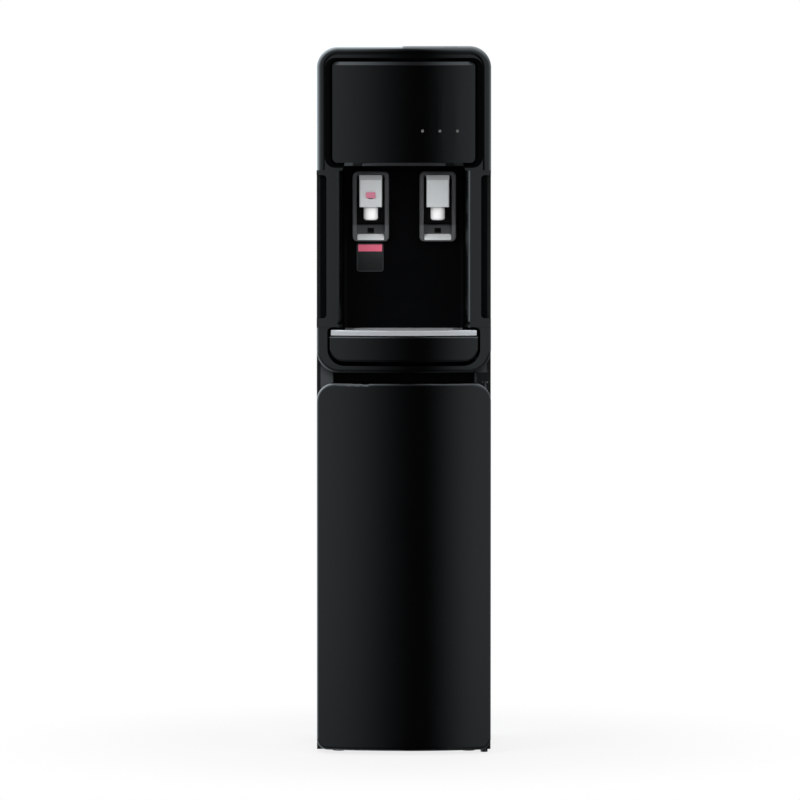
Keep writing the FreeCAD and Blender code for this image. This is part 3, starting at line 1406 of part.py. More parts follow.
def make_tanks():
    """Two tanks, each in its foam jacket, with a port to its tap and one through its floor."""
    shelf = tank_shelf_level + s.sheet
    low = tank_base
    gap, wall = s.running_gap, s.tank_wall
    for name, radius, height, foam, port, bore in (
            ("hot", s.hot_tank_radius, s.hot_tank_height, s.hot_foam, s.drain_radius, s.drain_bore),
            ("cold", s.cold_tank_radius, s.cold_tank_height, s.cold_foam, s.hose_radius, s.hose_bore)):
        x, y = tank_place[name]
        high = low + height
        line_x = tap_x[name]
        outlet = (port_front(name, radius + foam), y)
        body = fuse(f"{name}_tank_solid",
                    rod("vessel", "z", (x, y), (low + gap, high - gap), radius),
                    rod("outlet", "y", (line_x, feed_level), outlet, s.line_radius),
                    rod("floor_port", "z", (x, y), (shelf, low + 1), port))
        keep(cut(f"{name}_tank_hollow", body,
                 rod("inside", "z", (x, y), (low + gap + wall, high - gap - wall), radius - wall),
                 rod("outlet_bore", "y", (line_x, feed_level), (outlet[0] - 1, y), s.line_bore),
                 rod("floor_bore", "z", (x, y), (shelf - 1, low + gap + wall + 1), bore)), f"{name}_tank")
        keep(cut(f"{name}_jacket",
                 rod("jacket", "z", (x, y), (shelf, high + s.foam_lid), radius + foam),
                 rod("room", "z", (x, y), (low, high), radius + gap),
                 rod("outlet_way", "y", (line_x, feed_level), (outlet[0] - 1, y), s.line_radius + gap),
                 rod("floor_way", "z", (x, y), (shelf - 1, low + 1), port + gap)), f"{name}_insulation")


def make_lines():
    """The pipes from the tanks to the taps, the supply hose and the drain pipe."""
    shelf = tank_shelf_level + s.sheet
    for name, radius, foam in (("hot", s.hot_tank_radius, s.hot_foam), ("cold", s.cold_tank_radius, s.cold_foam)):
        x = tap_x[name]
        span = (feed_back + s.barb_length, port_front(name, radius + foam))
        keep(cut(f"{name}_pipe", rod("pipe", "y", (x, feed_level), span, s.line_radius),
                 rod("pipe_bore", "y", (x, feed_level), (span[0] - 1, span[1] + 1), s.line_bore)),
             f"{name}_line")
    cold_x, cold_y = tank_place["cold"]
    outlet_y = pump_front + s.pump_length / 2 - s.pump_outlet_advance
    level = shelf - s.sheet - s.supply_drop
    corners = ((probe_x, outlet_y, shelf_level + s.sheet + s.pump_height + s.barb_length),
               (probe_x, outlet_y, level), (cold_x, cold_y, level), (cold_x, cold_y, shelf))
    keep(shaped("supply", tube_shape(corners, s.hose_radius, s.hose_bore, s.hose_bend)), "supply_hose")

    x, y = tank_place["hot"]
    end = back_face + s.drain_out
    pipe = fuse("drain_solid",
                rod("drain_drop", "z", (x, y), (drain_level - s.drain_radius, shelf), s.drain_radius),
                rod("drain_run", "y", (x, drain_level), (y, end), s.drain_radius))
    keep(cut("drain_hollow", pipe,
             rod("drop_bore", "z", (x, y), (drain_level, shelf + 1), s.drain_bore),
             rod("run_bore", "y", (x, drain_level), (y, end + 1), s.drain_bore)), "drain_pipe")


def make_drain_cap():
    end = back_face + s.drain_out
    x, z = tank_place["hot"][0], drain_level
    cap = new_body("plug")
    low = end - s.drain_cap_length + s.drain_cap_wall
    pad(cap, "XZ_Plane", (low, end + s.drain_cap_wall),
        lambda sketch: add_circle(sketch, x, z, s.drain_cap_radius))
    pocket(cap, "XZ_Plane", (low, end + s.running_gap),
           lambda sketch: add_circle(sketch, x, z, s.drain_radius + s.pin_clearance))
    for turn in range(8):
        angle = math.radians(45 * turn)
        reach = s.drain_cap_radius + s.cap_groove_out
        pocket(cap, "XZ_Plane", (low, end + s.drain_cap_wall), lambda sketch: add_circle(
            sketch, x + reach * math.cos(angle), z + reach * math.sin(angle), s.cap_groove_radius))
    keep(cap, "drain_cap")


# ---------------------------------------------------------------- rear of the cabinet

def make_condenser():
    """A wire and tube condenser: one folded tube between two rows of wires."""
    tube, wire = s.condenser_tube, s.wire_radius
    flat = tube * math.cos(math.pi / 6)
    plane_y = rear - flat - 2 * wire
    runs = int(s.condenser_runs.value)
    corners = []
    for index in range(runs):
        level = condenser_bottom + s.condenser_pitch * index
        ends = [(-condenser_half + tube, plane_y, level), (condenser_half - tube, plane_y, level)]
        corners += ends if index % 2 == 0 else ends[::-1]
    pieces = [shaped("folded_tube", tube_shape(corners, tube, None, s.condenser_pitch * 0.45))]
    reach = condenser_half - s.condenser_pitch / 2
    wires = int(s.wire_count.value)
    spacing = reach * 2 / (wires - 1)
    overrun = s.condenser_pitch / 4
    span = (condenser_bottom - overrun, condenser_top + overrun)
    hangers = []
    for side in (-1, 1):
        x = (reach - spacing * 1.5) * side
        x_span = (x - s.bracket_width / 2, x + s.bracket_width / 2)
        for level in (condenser_bottom, condenser_top):
            hangers.append(block("bracket", x_span, (back_face, plane_y), (level - s.bracket_thickness, level)))
            hangers.append(block("bracket_foot", x_span, (back_face, back_face + s.bracket_thickness),
                                 (level - s.bracket_width, level)))
    wire_bars = []
    for index in range(wires):
        x = spacing * index - reach
        for y in (plane_y - flat - 2 * wire, plane_y + flat):
            wire_bars.append(block("wire", (x - wire, x + wire), (y, y + 2 * wire), span))
    keep(group("condenser_group", fuse("condenser_tube", *pieces, *hangers), *wire_bars), "condenser")


def make_switches():
    """A plate with two rocker switches, each tilted to its off side."""
    level = switch_level
    plate_y = (back_face, back_face + s.switch_plate_thickness)
    body = new_body("switch_face")
    pad(body, "XZ_Plane", plate_y, lambda sketch: add_rounded(
        sketch, (-s.switch_plate_half, s.switch_plate_half),
        (level - s.switch_plate_height / 2, level + s.switch_plate_height / 2), 3, 3))
    window, box = switch_window, switch_box
    places = {"hot_switch": -s.switch_spacing / 2, "cold_switch": s.switch_spacing / 2}
    for x in places.values():
        pad(body, "XZ_Plane", (back_face - s.rocker_depth - s.rocker_room * 2, back_face), lambda sketch: add_rectangle(
            sketch, (x - box[0], x + box[0]), (level - box[1], level + box[1])))
        pocket(body, "XZ_Plane", (back_face - s.rocker_depth - s.rocker_room, plate_y[1]), lambda sketch: add_rectangle(
            sketch, (x - window[0], x + window[0]), (level - window[1], level + window[1])))
    pin_y = back_face
    reach_x = s.switch_spacing / 2 + box[0]
    pocket(body, "YZ_Plane", (-reach_x, reach_x), lambda sketch: add_circle(
        sketch, pin_y, level, s.rocker_pin_radius + s.pin_clearance))
    keep(body, "switch_plate")
    slope = math.radians(s.rocker_throw.value / 2)
    reach = s.rocker_height / 2
    for label, x in places.items():
        rocker = new_body(label)
        outer = plate_y[1] + s.rocker_proud
        pad(rocker, "YZ_Plane", (x - s.rocker_width / 2, x + s.rocker_width / 2), lambda sketch: add_polygon(
            sketch, (back_face - s.rocker_depth / 2, level - reach * 0.35),
            (back_face - s.rocker_depth / 2, level + reach * 0.35),
            (back_face, level + reach * 0.9), (outer - 2 * reach * math.sin(slope), level + reach * 0.92),
            (plate_y[1], level), (outer, level - reach * 0.92), (back_face, level - reach * 0.9)))
        pin = rod("rocker_pin", "x", (pin_y, level), (x - box[0], x + box[0]), s.rocker_pin_radius)
        keep(fuse(f"{label}_with_pin", rocker, pin), label)


def make_power_inlet():
    """A three pin inlet with its flange; nothing is plugged into it."""
    x, z = inlet_x, inlet_level
    cavity = (s.inlet_cavity_width / 2, s.inlet_cavity_height / 2)
    shell = (cavity[0] + s.wall - s.running_gap, cavity[1] + s.wall - s.running_gap)
    body = new_body("inlet")
    pad(body, "XZ_Plane", (back_face, back_face + s.inlet_flange), lambda sketch: add_rounded(
        sketch, (x - s.inlet_width / 2, x + s.inlet_width / 2),
        (z - s.inlet_height / 2, z + s.inlet_height / 2), 4, 4))
    pad(body, "XZ_Plane", (back_face - s.inlet_depth, back_face), lambda sketch: add_rectangle(
        sketch, (x - shell[0], x + shell[0]), (z - shell[1], z + shell[1])))
    pocket(body, "XZ_Plane", (back_face - s.inlet_depth + s.wall, back_face + s.inlet_flange), lambda sketch: add_rectangle(
        sketch, (x - cavity[0], x + cavity[0]), (z - cavity[1], z + cavity[1])))
    for offset, lift in ((-1, -1), (0, 1), (1, -1)):
        px, pz = x + s.inlet_pin_pitch * offset, z + 2 * lift
        pad(body, "XZ_Plane", (back_face - s.inlet_depth + s.wall, back_face - s.inlet_pin_drop),
            lambda sketch: add_rectangle(
                sketch, (px - s.inlet_pin_width / 2, px + s.inlet_pin_width / 2),
                (pz - s.inlet_pin_width, pz + s.inlet_pin_width)))
    keep(body, "power_inlet")


def make_control_board():
    board_y = back_inner - s.control_standoff
    reach = s.control_half_width
    low, high = control_level, control_level + s.control_height
    x = s.control_x
    board = block("control", (x - reach, x + reach), (board_y - s.board_thickness, board_y), (low, high))
    inset = s.control_post_inset
    posts = [rod("control_post", "y", (x + (reach - inset) * side, level), (board_y, back_inner),
                 s.control_post_radius)
             for side in (-1, 1) for level in (low + inset, high - inset)]
    face = board_y - s.board_thickness
    parts = []
    for index in (-1, 0, 1):
        middle = x + s.relay_pitch * index
        parts.append(block("relay", (middle - s.relay_width / 2, middle + s.relay_width / 2),
                           (face - s.relay_depth, face),
                           (low + s.relay_rise, low + s.relay_rise + s.relay_height)))
    keep(fuse("control_solid", board, *posts, *parts), "control_board")


# ---------------------------------------------------------------- build, check and write

make_feet()
make_base_tray()
make_side_panel("side_panel_left", -1)
make_side_panel("side_panel_right", 1)
make_top_cover()
make_rear_panel()
make_front_frame()
make_door()
make_hinges()
make_magnet()
make_bay()
make_probe()
make_bezel()
make_upper_panel()
make_niche_liner()
for tap in tap_x:
    make_trim(tap)
    make_tap(tap)
make_child_lock()
make_drip_tray()
make_shelves()
make_compressor()
make_pump()
make_tanks()
make_lines()
make_drain_cap()
make_condenser()
make_switches()
make_power_inlet()
make_control_board()
doc.recompute()

faults = [item.Name for item in doc.Objects if {"Invalid", "Error"} & set(item.State)]
faults += [label for label, piece in kept.items() if piece.Shape.isNull() or not piece.Shape.isValid()]
if faults:
    raise RuntimeError(f"failed objects: {faults}")

os.makedirs("parts", exist_ok=True)
for label, piece in kept.items():
    piece.Shape.exportStep(f"parts/{label}.step")
    print(f"{label}: {len(piece.Shape.Solids)} solid(s), {piece.Shape.Volume / 1000:.1f} cm3")
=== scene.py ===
"""Looks of a black bottom load water cooler: finishes, small parts, studio light and the camera."""
import json
import math

import bmesh
import bpy
from mathutils import Matrix, Vector


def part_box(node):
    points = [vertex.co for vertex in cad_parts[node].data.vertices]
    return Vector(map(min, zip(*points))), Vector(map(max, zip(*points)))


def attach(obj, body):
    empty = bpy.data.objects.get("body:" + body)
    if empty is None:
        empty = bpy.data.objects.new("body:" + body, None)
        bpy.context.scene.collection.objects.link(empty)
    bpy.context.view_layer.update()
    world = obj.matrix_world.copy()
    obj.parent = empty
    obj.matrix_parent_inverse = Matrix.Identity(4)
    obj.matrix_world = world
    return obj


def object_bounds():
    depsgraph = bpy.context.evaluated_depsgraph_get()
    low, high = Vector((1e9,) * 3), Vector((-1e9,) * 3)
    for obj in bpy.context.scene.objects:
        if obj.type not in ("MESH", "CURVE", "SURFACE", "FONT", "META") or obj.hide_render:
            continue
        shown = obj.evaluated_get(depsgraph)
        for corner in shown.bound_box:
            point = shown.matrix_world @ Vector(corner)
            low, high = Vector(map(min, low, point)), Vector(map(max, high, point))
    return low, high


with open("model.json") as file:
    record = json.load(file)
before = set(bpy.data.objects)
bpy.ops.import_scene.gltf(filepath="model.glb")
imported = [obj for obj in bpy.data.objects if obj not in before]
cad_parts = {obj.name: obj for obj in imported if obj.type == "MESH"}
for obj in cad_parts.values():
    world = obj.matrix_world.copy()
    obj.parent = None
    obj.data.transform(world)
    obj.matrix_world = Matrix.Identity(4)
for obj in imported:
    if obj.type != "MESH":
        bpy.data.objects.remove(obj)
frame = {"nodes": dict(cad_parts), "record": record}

nodes = frame["nodes"]
cad_low, cad_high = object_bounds()
MM = 0.001

# ---------------------------------------------------------------- sizes of what is drawn here

RING_CORNER = 36 * MM           # the head moulding's rounded corners
RING_WIDTH = 14 * MM            # the rolled ring round the upper panel
RING_RISE, RING_FALL = 0.45, 0.65   # its section: how it climbs from the inner edge and drops to the outer
HEAD_LOW = 972.5 * MM           # where that ring ends, above the grip slots
PANEL_BAND_LOW = 1146.5 * MM    # the sloping band under the upper panel's top edge
PANEL_BAND_SIDE = (106 * MM, 120 * MM)
PANEL_BAND_SLOPE = 0.47
# The frame behind the door is painted near black in the finger recess as painted shade, and paler on the
# shoulders beside it as a painted highlight that stops at the shoulders' top and dims from left to right, as
# if lit from the left.
RECESS_HALF = 118 * MM          # the finger recess above the door
RECESS_EDGE = 1 * MM
SHOULDER_TOP = 660 * MM
SHOULDER_EDGE = 5 * MM
SHOULDER_LIGHT_FADE = (-0.1, 0.1)     # the shoulders get darker from left to right
SHOULDER_LIGHT_DROP = 0.35

# below this height a tap frame's ledge is painted lighter: a painted highlight, as if lit from above
LEDGE_TOP = 27 * MM             # over the low edge of a tap's frame
LEDGE_EDGE = 2 * MM
# where the dark patch of painted shade for the ledge's hole sits, and its size
LEDGE_HOLE = 18 * MM
LEDGE_HOLE_HALF = (5.5 * MM, 3.6 * MM)
LEDGE_HOLE_EDGE = 0.5 * MM
# the depths behind a tap frame's face over which painted shade darkens its recess to near black
RECESS_SHADE_DEPTH = (2 * MM, 9 * MM)

SCREW_RADIUS = 3.6 * MM
SCREW_HEIGHT = 2.2 * MM
SCREW_ROWS = 5
SCREW_INSET = 7 * MM
SCREW_END = 22 * MM
PLATE_SCREW_INSET = 5 * MM

TRIM_DEPTH = 14 * MM
LIP_HALF = 22.5 * MM
LIP_LOW = 2 * MM
LIP_RISE = 10 * MM
LIP_THICKNESS = 0.8 * MM
LIP_SINK = 0.1 * MM
LIP_CORNER = 2 * MM
LIP_SOFTENING = 0.3 * MM

HOT_PLATE_ASIDE = 1 * MM        # how far it sits left of the tap's middle
HOT_PLATE_WIDTH = 45 * MM
HOT_PLATE_HEIGHT = 48 * MM
HOT_PLATE_DROP = 3 * MM
HOT_PLATE_THICKNESS = 1.6 * MM
HOT_PLATE_BORDER = 2.6 * MM
HOT_PLATE_BAR = 14 * MM
HOT_PLATE_SEAM = 0.6 * MM
HOT_PLATE_CORNER = 5 * MM
HOT_PLATE_RIM = 1.6 * MM
HOT_PLATE_STEP = (0.5 * MM, 0.7 * MM)
TILE_SPAN = (1.5 * MM, 0.8 * MM)    # a tile's face and back, before the plate's back
TILE_EDGE = (0.6 * MM, 0.25 * MM)

BUMPER_RADIUS = 5 * MM
BUMPER_HEIGHT = 2.6 * MM
BUMPER_SIDE = 14 * MM
BUMPER_END = 60 * MM

TOUCH = 0.01 * MM               # how near counts as lying on a plane
SOFT_ANGLE = math.radians(35)

# ---------------------------------------------------------------- camera and studio values

MIDDLE_X = -6.3 * MM
CAMERA_DISTANCE = 11.0
CAMERA_REACH = 60
AIM_HEIGHT = 0.5921
LENS = 299.0

FLOOR_RADIUS = 1.6
FLOOR_FADE = (0.3, 0.8)
FLOOR_GLOW = 0.8

MIDDLE_OF_PART = (0, 0, 0.6)
SOFTBOXES = (                   # name, place, aim, width, height, power
    ("key_softbox", (-1.9, -2.4, 2.2), MIDDLE_OF_PART, 1.4, 1.4, 30),
    ("fill_softbox", (2.2, -2.0, 1.6), MIDDLE_OF_PART, 1.4, 1.8, 16),
    ("front_softbox", (0.3, -4.2, 1.6), (0, 0, 0.8), 1.2, 1.2, 82),
    ("back_softbox", (0.4, 2.4, 2.0), (0, 0, 0.7), 1.8, 1.4, 18),
)

# what the gloss reflects, by the angle from the camera's side, positive to the right
LEFT_FULL, LEFT_END = math.radians(-46), math.radians(7)
RIGHT_START, RIGHT_FULL = math.radians(9), math.radians(40)
FAR_LEFT_FULL, FAR_LEFT_START = math.radians(-100), math.radians(-52)
WALL_LEVEL = 0.6
FAR_LEFT_LEVEL = 2.2
GAP_LEVEL = 0.012
LOW_LEVEL = 0.35
LOW_BAND = (-0.17, -0.07)
OVERHEAD_LEVEL = 2.2
OVERHEAD_BAND = (0.15, 0.8)
OVERHEAD_LEFT, OVERHEAD_RIGHT, OVERHEAD_BASE = 0.8, 0.5, 0.12
MIRROR_TINT = (0.9, 1.0, 1.06)
WORLD_LEVEL = 0.35

# ---------------------------------------------------------------- finishes: the node helpers


class Value:
    """A socket whose value is a number, with the arithmetic that the patterns use."""

    def __init__(self, graph, socket):
        self.graph = graph
        self.socket = socket

    def math(self, operation, *others, clamp=False):
        settings = {"operation": operation, "use_clamp": clamp}
        return self.graph.add("ShaderNodeMath", settings, {0: self, **dict(enumerate(others, 1))})

    def __add__(self, other):
        return self.math("ADD", other)

    def __sub__(self, other):
        return self.math("SUBTRACT", other)

    def __mul__(self, other):
        return self.math("MULTIPLY", other)

    def __truediv__(self, other):
        return self.math("DIVIDE", other)

    def __rsub__(self, other):
        return self * -1 + other

    def clamped(self):
        return self.math("ADD", 0, clamp=True)

    def size(self):
        """The value without its sign."""
        return self.math("ABSOLUTE")

    def over(self, level):
        """How far the value is over level, or 0."""
        return (self - level).math("MAXIMUM", 0)

    def smooth(self, low, high):
        """0 below low and 1 above high, with a soft step between them."""
        return self.graph.add("ShaderNodeMapRange", {"interpolation_type": "SMOOTHSTEP"},
                              {"Value": self, "From Min": low, "From Max": high})

    def band(self, middle, half, edge):
        """1 within half of middle, fading out over edge."""
        return 1 - (self - middle).size().smooth(half, half + edge)


class Graph:
    """A node tree, emptied, and the methods that fill it."""

    def __init__(self, tree):
        self.tree = tree
        tree.nodes.clear()

    def add(self, kind, settings, inputs, output=0):
        """One node: its settings first, then the values or links of its sockets."""
        node = self.tree.nodes.new(kind)
        for key, value in settings.items():
            setattr(node, key, value)
        for key, value in inputs.items():
            if isinstance(value, Value):
                self.tree.links.new(value.socket, node.inputs[key])
            else:
                node.inputs[key].default_value = value
        return Value(self, node.outputs[output])

    def blend(self, share, low, high):
        """A colour between low and high by share."""
        picked = {6: low if isinstance(low, Value) else (*low, 1.0),
                  7: high if isinstance(high, Value) else (*high, 1.0)}
        return self.add("ShaderNodeMix", {"data_type": "RGBA"}, {0: share, **picked}, output=2)

    def ray(self, kind):
        """1 on rays of this kind, such as Is Camera Ray."""
        return self.add("ShaderNodeLightPath", {}, {}, output=kind)


class Finish(Graph):
    """A material in the making: one Principled shader and what feeds it."""

    def __init__(self, name, color, roughness, metallic=0.0, **sockets):
        self.material = bpy.data.materials.new(name)
        self.material.use_nodes = True
        super().__init__(self.material.node_tree)
        self.shader = self.tree.nodes.new("ShaderNodeBsdfPrincipled")
        self.output = self.tree.nodes.new("ShaderNodeOutputMaterial")
        self.tree.links.new(self.shader.outputs["BSDF"], self.output.inputs["Surface"])
        self.shader.inputs["Base Color"].default_value = (*color, 1.0)
        self.shader.inputs["Roughness"].default_value = roughness
        self.shader.inputs["Metallic"].default_value = metallic
        for label, value in sockets.items():
            self.shader.inputs[label.replace("_", " ")].default_value = value
        self.place = self.add("ShaderNodeTexCoord", {}, {}, output="Object")

    def stretched(self, scale):
        """The object's coordinates, scaled unevenly."""
        return self.add("ShaderNodeMapping", {}, {"Vector": self.place, "Scale": scale})

    def noise(self, scale, detail=3.0, place=None):
        return self.add("ShaderNodeTexNoise", {},
                        {"Vector": place or self.place, "Scale": scale, "Detail": detail})

    def cells(self, scale, output="Distance"):
        return self.add("ShaderNodeTexVoronoi", {}, {"Vector": self.place, "Scale": scale}, output=output)

    def axis(self, name):
        """One coordinate of the object, in metres."""
        return self.add("ShaderNodeSeparateXYZ", {}, {0: self.place}, output=name)

    def wire(self, label, value):
        self.tree.links.new(value.socket, self.shader.inputs[label])

    def tint(self, share, low, high):
        self.wire("Base Color", self.blend(share, low, high))

    def vary_roughness(self, share, low, high):
        self.wire("Roughness", share * (high - low) + low)

    def bump(self, height, distance, strength=1.0):
        self.wire("Normal", self.add("ShaderNodeBump", {}, {
            "Height": height, "Distance": distance, "Strength": strength}, output="Normal"))


def shade(color, factor):
    """The colour, lighter or darker, and never over white."""
    return tuple(min(part * factor, 1.0) for part in color)


# ---------------------------------------------------------------- finishes: one function for each kind


def ring_roll(finish):
    """The rolled section of the ring round the head, as a height over its face in metres."""
    across = finish.axis("X").size().over(cad_high.x - RING_CORNER)
    above = finish.axis("Z")
    up = above.over(cad_high.z - RING_CORNER)
    outwards = (across * across + up * up).math("SQRT")
    share = ((outwards - (RING_CORNER - RING_WIDTH)) / RING_WIDTH).clamped()
    section = share * RING_RISE - share * share * RING_FALL
    return section * RING_WIDTH * above.math("GREATER_THAN", HEAD_LOW)


def panel_roll(finish):
    """The sloping band along the top of the upper panel, as a height over its face in metres."""
    rise = finish.axis("Z").over(PANEL_BAND_LOW)
    return rise * -PANEL_BAND_SLOPE * (1 - finish.axis("X").size().smooth(*PANEL_BAND_SIDE))


def gloss_moulding(name, color, roll=None):
    """Polished black moulding: a faint flow waviness and a few wiping smudges."""
    finish = Finish(name, color, 0.05, IOR=1.49)
    flow = finish.noise(9.0, 2.0)
    smudge = finish.noise(38.0, 5.0, finish.stretched((1.0, 1.0, 0.35))).smooth(0.56, 0.78)
    finish.tint(smudge * 0.5, color, shade(color, 1.6))
    finish.vary_roughness((smudge * 0.7 + flow * 0.3).clamped(), 0.035, 0.12)
    height = flow * 0.00006
    finish.bump(height + roll(finish) if roll else height, 1.0)
    return finish.material


def satin_moulding(name, color, roughness=0.42, grain=0.00004, shine=0.5):
    """Moulding with a fine spark eroded grain, duller where it is handled."""
    finish = Finish(name, color, roughness, Specular_IOR_Level=shine)
    dust = finish.noise(26.0, 5.0)
    pits = finish.cells(2600.0)
    finish.tint(dust.smooth(0.42, 0.72) * 0.6, color, shade(color, 1.35))
    finish.vary_roughness(dust, roughness - 0.07, roughness + 0.1)
    finish.bump(pits + dust * 0.4, grain)
    return finish.material


def coated_sheet(name, color):
    """Powder coated steel sheet with an orange peel."""
    finish = Finish(name, color, 0.33, Coat_Weight=0.25, Coat_Roughness=0.18)
    peel = finish.noise(620.0, 2.0)
    cloud = finish.noise(7.0, 4.0)
    finish.tint(cloud.smooth(0.4, 0.7), color, shade(color, 1.25))
    finish.vary_roughness(cloud, 0.28, 0.42)
    finish.bump(peel, 0.00005, 0.7)
    return finish.material


def galvanised(name, color):
    """Zinc coated sheet with its spangle."""
    finish = Finish(name, color, 0.42, metallic=0.85)
    spangle = finish.cells(150.0, "Color")
    flake = finish.add("ShaderNodeSeparateColor", {}, {0: spangle}, output=0)
    stain = finish.noise(11.0, 5.0).smooth(0.45, 0.75)
    finish.tint((flake * 0.75 + stain * 0.25).clamped(), shade(color, 0.78), shade(color, 1.12))
    finish.vary_roughness(flake, 0.34, 0.52)
    finish.bump(flake, 0.00001)
    return finish.material


def brushed(name, color, stretch, roughness=0.26, metallic=1.0):
    """Steel brushed along the direction that stretch makes longest."""
    finish = Finish(name, color, roughness, metallic=metallic)
    lines = finish.noise(900.0, 3.0, finish.stretched(stretch))
    finish.tint(lines, shade(color, 0.86), shade(color, 1.1))
    finish.vary_roughness(lines, roughness - 0.07, roughness + 0.12)
    finish.bump(lines, 0.00001)
    return finish.material


def plain_moulding(name, color, roughness=0.4, through=0.0):
    """Undecorated moulding for taps, pumps and tubes."""
    finish = Finish(name, color, roughness, Subsurface_Weight=through)
    haze = finish.noise(22.0, 3.0)
    finish.tint(haze, shade(color, 0.95), shade(color, 1.04))
    finish.vary_roughness(haze, roughness - 0.06, roughness + 0.08)
    finish.bump(haze, 0.00002)
    return finish.material


def rubber(name, color):
    """Black rubber with a crumbly surface."""
    finish = Finish(name, color, 0.75)
    crumb = finish.noise(420.0, 4.0)
    finish.tint(crumb, shade(color, 0.8), shade(color, 1.5))
    finish.vary_roughness(crumb, 0.65, 0.9)
    finish.bump(crumb, 0.00008)
    return finish.material


def foam(name, color):
    """Moulded bead foam: closed beads with dark seams between them."""
    finish = Finish(name, color, 0.85)
    beads = finish.cells(260.0)
    finish.tint(beads.smooth(0.35, 0.75), color, shade(color, 0.84))
    finish.vary_roughness(beads, 0.78, 0.95)
    finish.bump(1 - beads, 0.0006)
    return finish.material


def circuit(name, color):
    """Solder mask with paler tracks under it."""
    finish = Finish(name, color, 0.3)
    upright = finish.add("ShaderNodeMapping", {}, {"Vector": finish.place, "Rotation": (math.pi / 2, 0, 0)})
    tracks = finish.add("ShaderNodeTexBrick", {"offset": 0.5},
                        {"Vector": upright, "Scale": 160.0, "Mortar Size": 0.06}, output="Fac")
    grime = finish.noise(80.0, 3.0)
    finish.tint(tracks * 0.8, color, shade(color, 2.4))
    finish.vary_roughness(grime, 0.24, 0.4)
    finish.bump(tracks, 0.00003)
    return finish.material


def tap_recess(name, color, node):
    """A tap's frame: grey rim, a ledge painted lighter as if lit from above, painted shade near black deep
    inside, and a dark patch of painted shade where the ledge has a hole.
    """
    low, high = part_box(node)
    finish = Finish(name, color, 0.3)
    haze = finish.noise(22.0, 3.0)
    above = finish.axis("Z")
    # painted shade: the recess gets darker the deeper it lies behind the frame's face
    deep = finish.axis("Y").smooth(low.y + RECESS_SHADE_DEPTH[0], low.y + RECESS_SHADE_DEPTH[1])
    ledge_top = low.z + LEDGE_TOP
    over_ledge = above.smooth(ledge_top - LEDGE_EDGE, ledge_top + LEDGE_EDGE)
    aside = (finish.axis("X") - (low.x + high.x) / 2).size()
    hole_half, hole_rise = LEDGE_HOLE_HALF
    beside_hole = aside.smooth(hole_half - LEDGE_HOLE_EDGE, hole_half + LEDGE_HOLE_EDGE)
    # painted shade standing in for the hole in the ledge
    hole = (1 - beside_hole) * above.band(low.z + LEDGE_HOLE, hole_rise, 2 * LEDGE_HOLE_EDGE)
    # where painted shade turns the frame near black
    dark = (deep * over_ledge + deep * hole).clamped()
    # painted highlight: the ledge lighter, as if lit from above
    ledge = finish.blend((1 - over_ledge) * 0.9, color, shade(color, 1.7))
    grain = finish.blend(haze * 0.15, ledge, (0.02, 0.02, 0.02))
    finish.wire("Base Color", finish.blend(dark, grain, (0.0015, 0.0015, 0.0017)))
    finish.vary_roughness(haze, 0.24, 0.36)
    finish.bump(haze, 0.00002)
    return finish.material


def shoulder_moulding(name, color, shoulder_painted_light):
    """The frame behind the door: painted shade near black in the finger recess, and a painted highlight
    making both shoulders beside it paler, dimmer on the right as if lit from the left.
    """
    finish = Finish(name, color, 0.45, Specular_IOR_Level=0.16)
    across = finish.axis("X")
    # painted highlight on the shoulders beside the finger recess
    aside = across.size().smooth(RECESS_HALF - RECESS_EDGE, RECESS_HALF + RECESS_EDGE)
    # the painted highlight dims from left to right, as if lit from the left
    aside = aside * (1 - across.smooth(*SHOULDER_LIGHT_FADE) * SHOULDER_LIGHT_DROP)
    over = finish.axis("Z").smooth(SHOULDER_TOP - SHOULDER_EDGE, SHOULDER_TOP + SHOULDER_EDGE)
    # no painted highlight above the shoulders
    aside = aside * (1 - over)
    dust = finish.noise(26.0, 5.0)
    # the painted highlight on the shoulders, broken up a little by the same noise that varies the roughness
    finish.tint((aside * (dust * 0.2 + 0.8)).clamped(), color, shoulder_painted_light)
    finish.vary_roughness(dust, 0.38, 0.52)
    finish.bump(finish.cells(2600.0), 0.00003)
    return finish.material


def lever_moulding(name, color):
    """Silver painted push lever: a fine flake, a little duller where fingers press."""
    finish = Finish(name, color, 0.3, metallic=0.1, Coat_Weight=0.3, Coat_Roughness=0.12)
    flake = finish.noise(2400.0, 2.0)
    wear = finish.noise(40.0, 3.0)
    finish.tint(flake, shade(color, 0.96), shade(color, 1.05))
    finish.vary_roughness(wear, 0.26, 0.36)
    finish.bump(flake, 0.000008)
    return finish.material


SHELL_BLACK = (0.0008, 0.0009, 0.0009)
# darker than the other black mouldings: painted shade, for the niche under the head and the finger recess
# behind the door
SHADE_BLACK = (0.0006, 0.0007, 0.0008)
TRIM_GREY = (0.05, 0.052, 0.055)
ALONG_X, ALONG_Z = (0.02, 1.0, 1.0), (1.0, 1.0, 0.04)

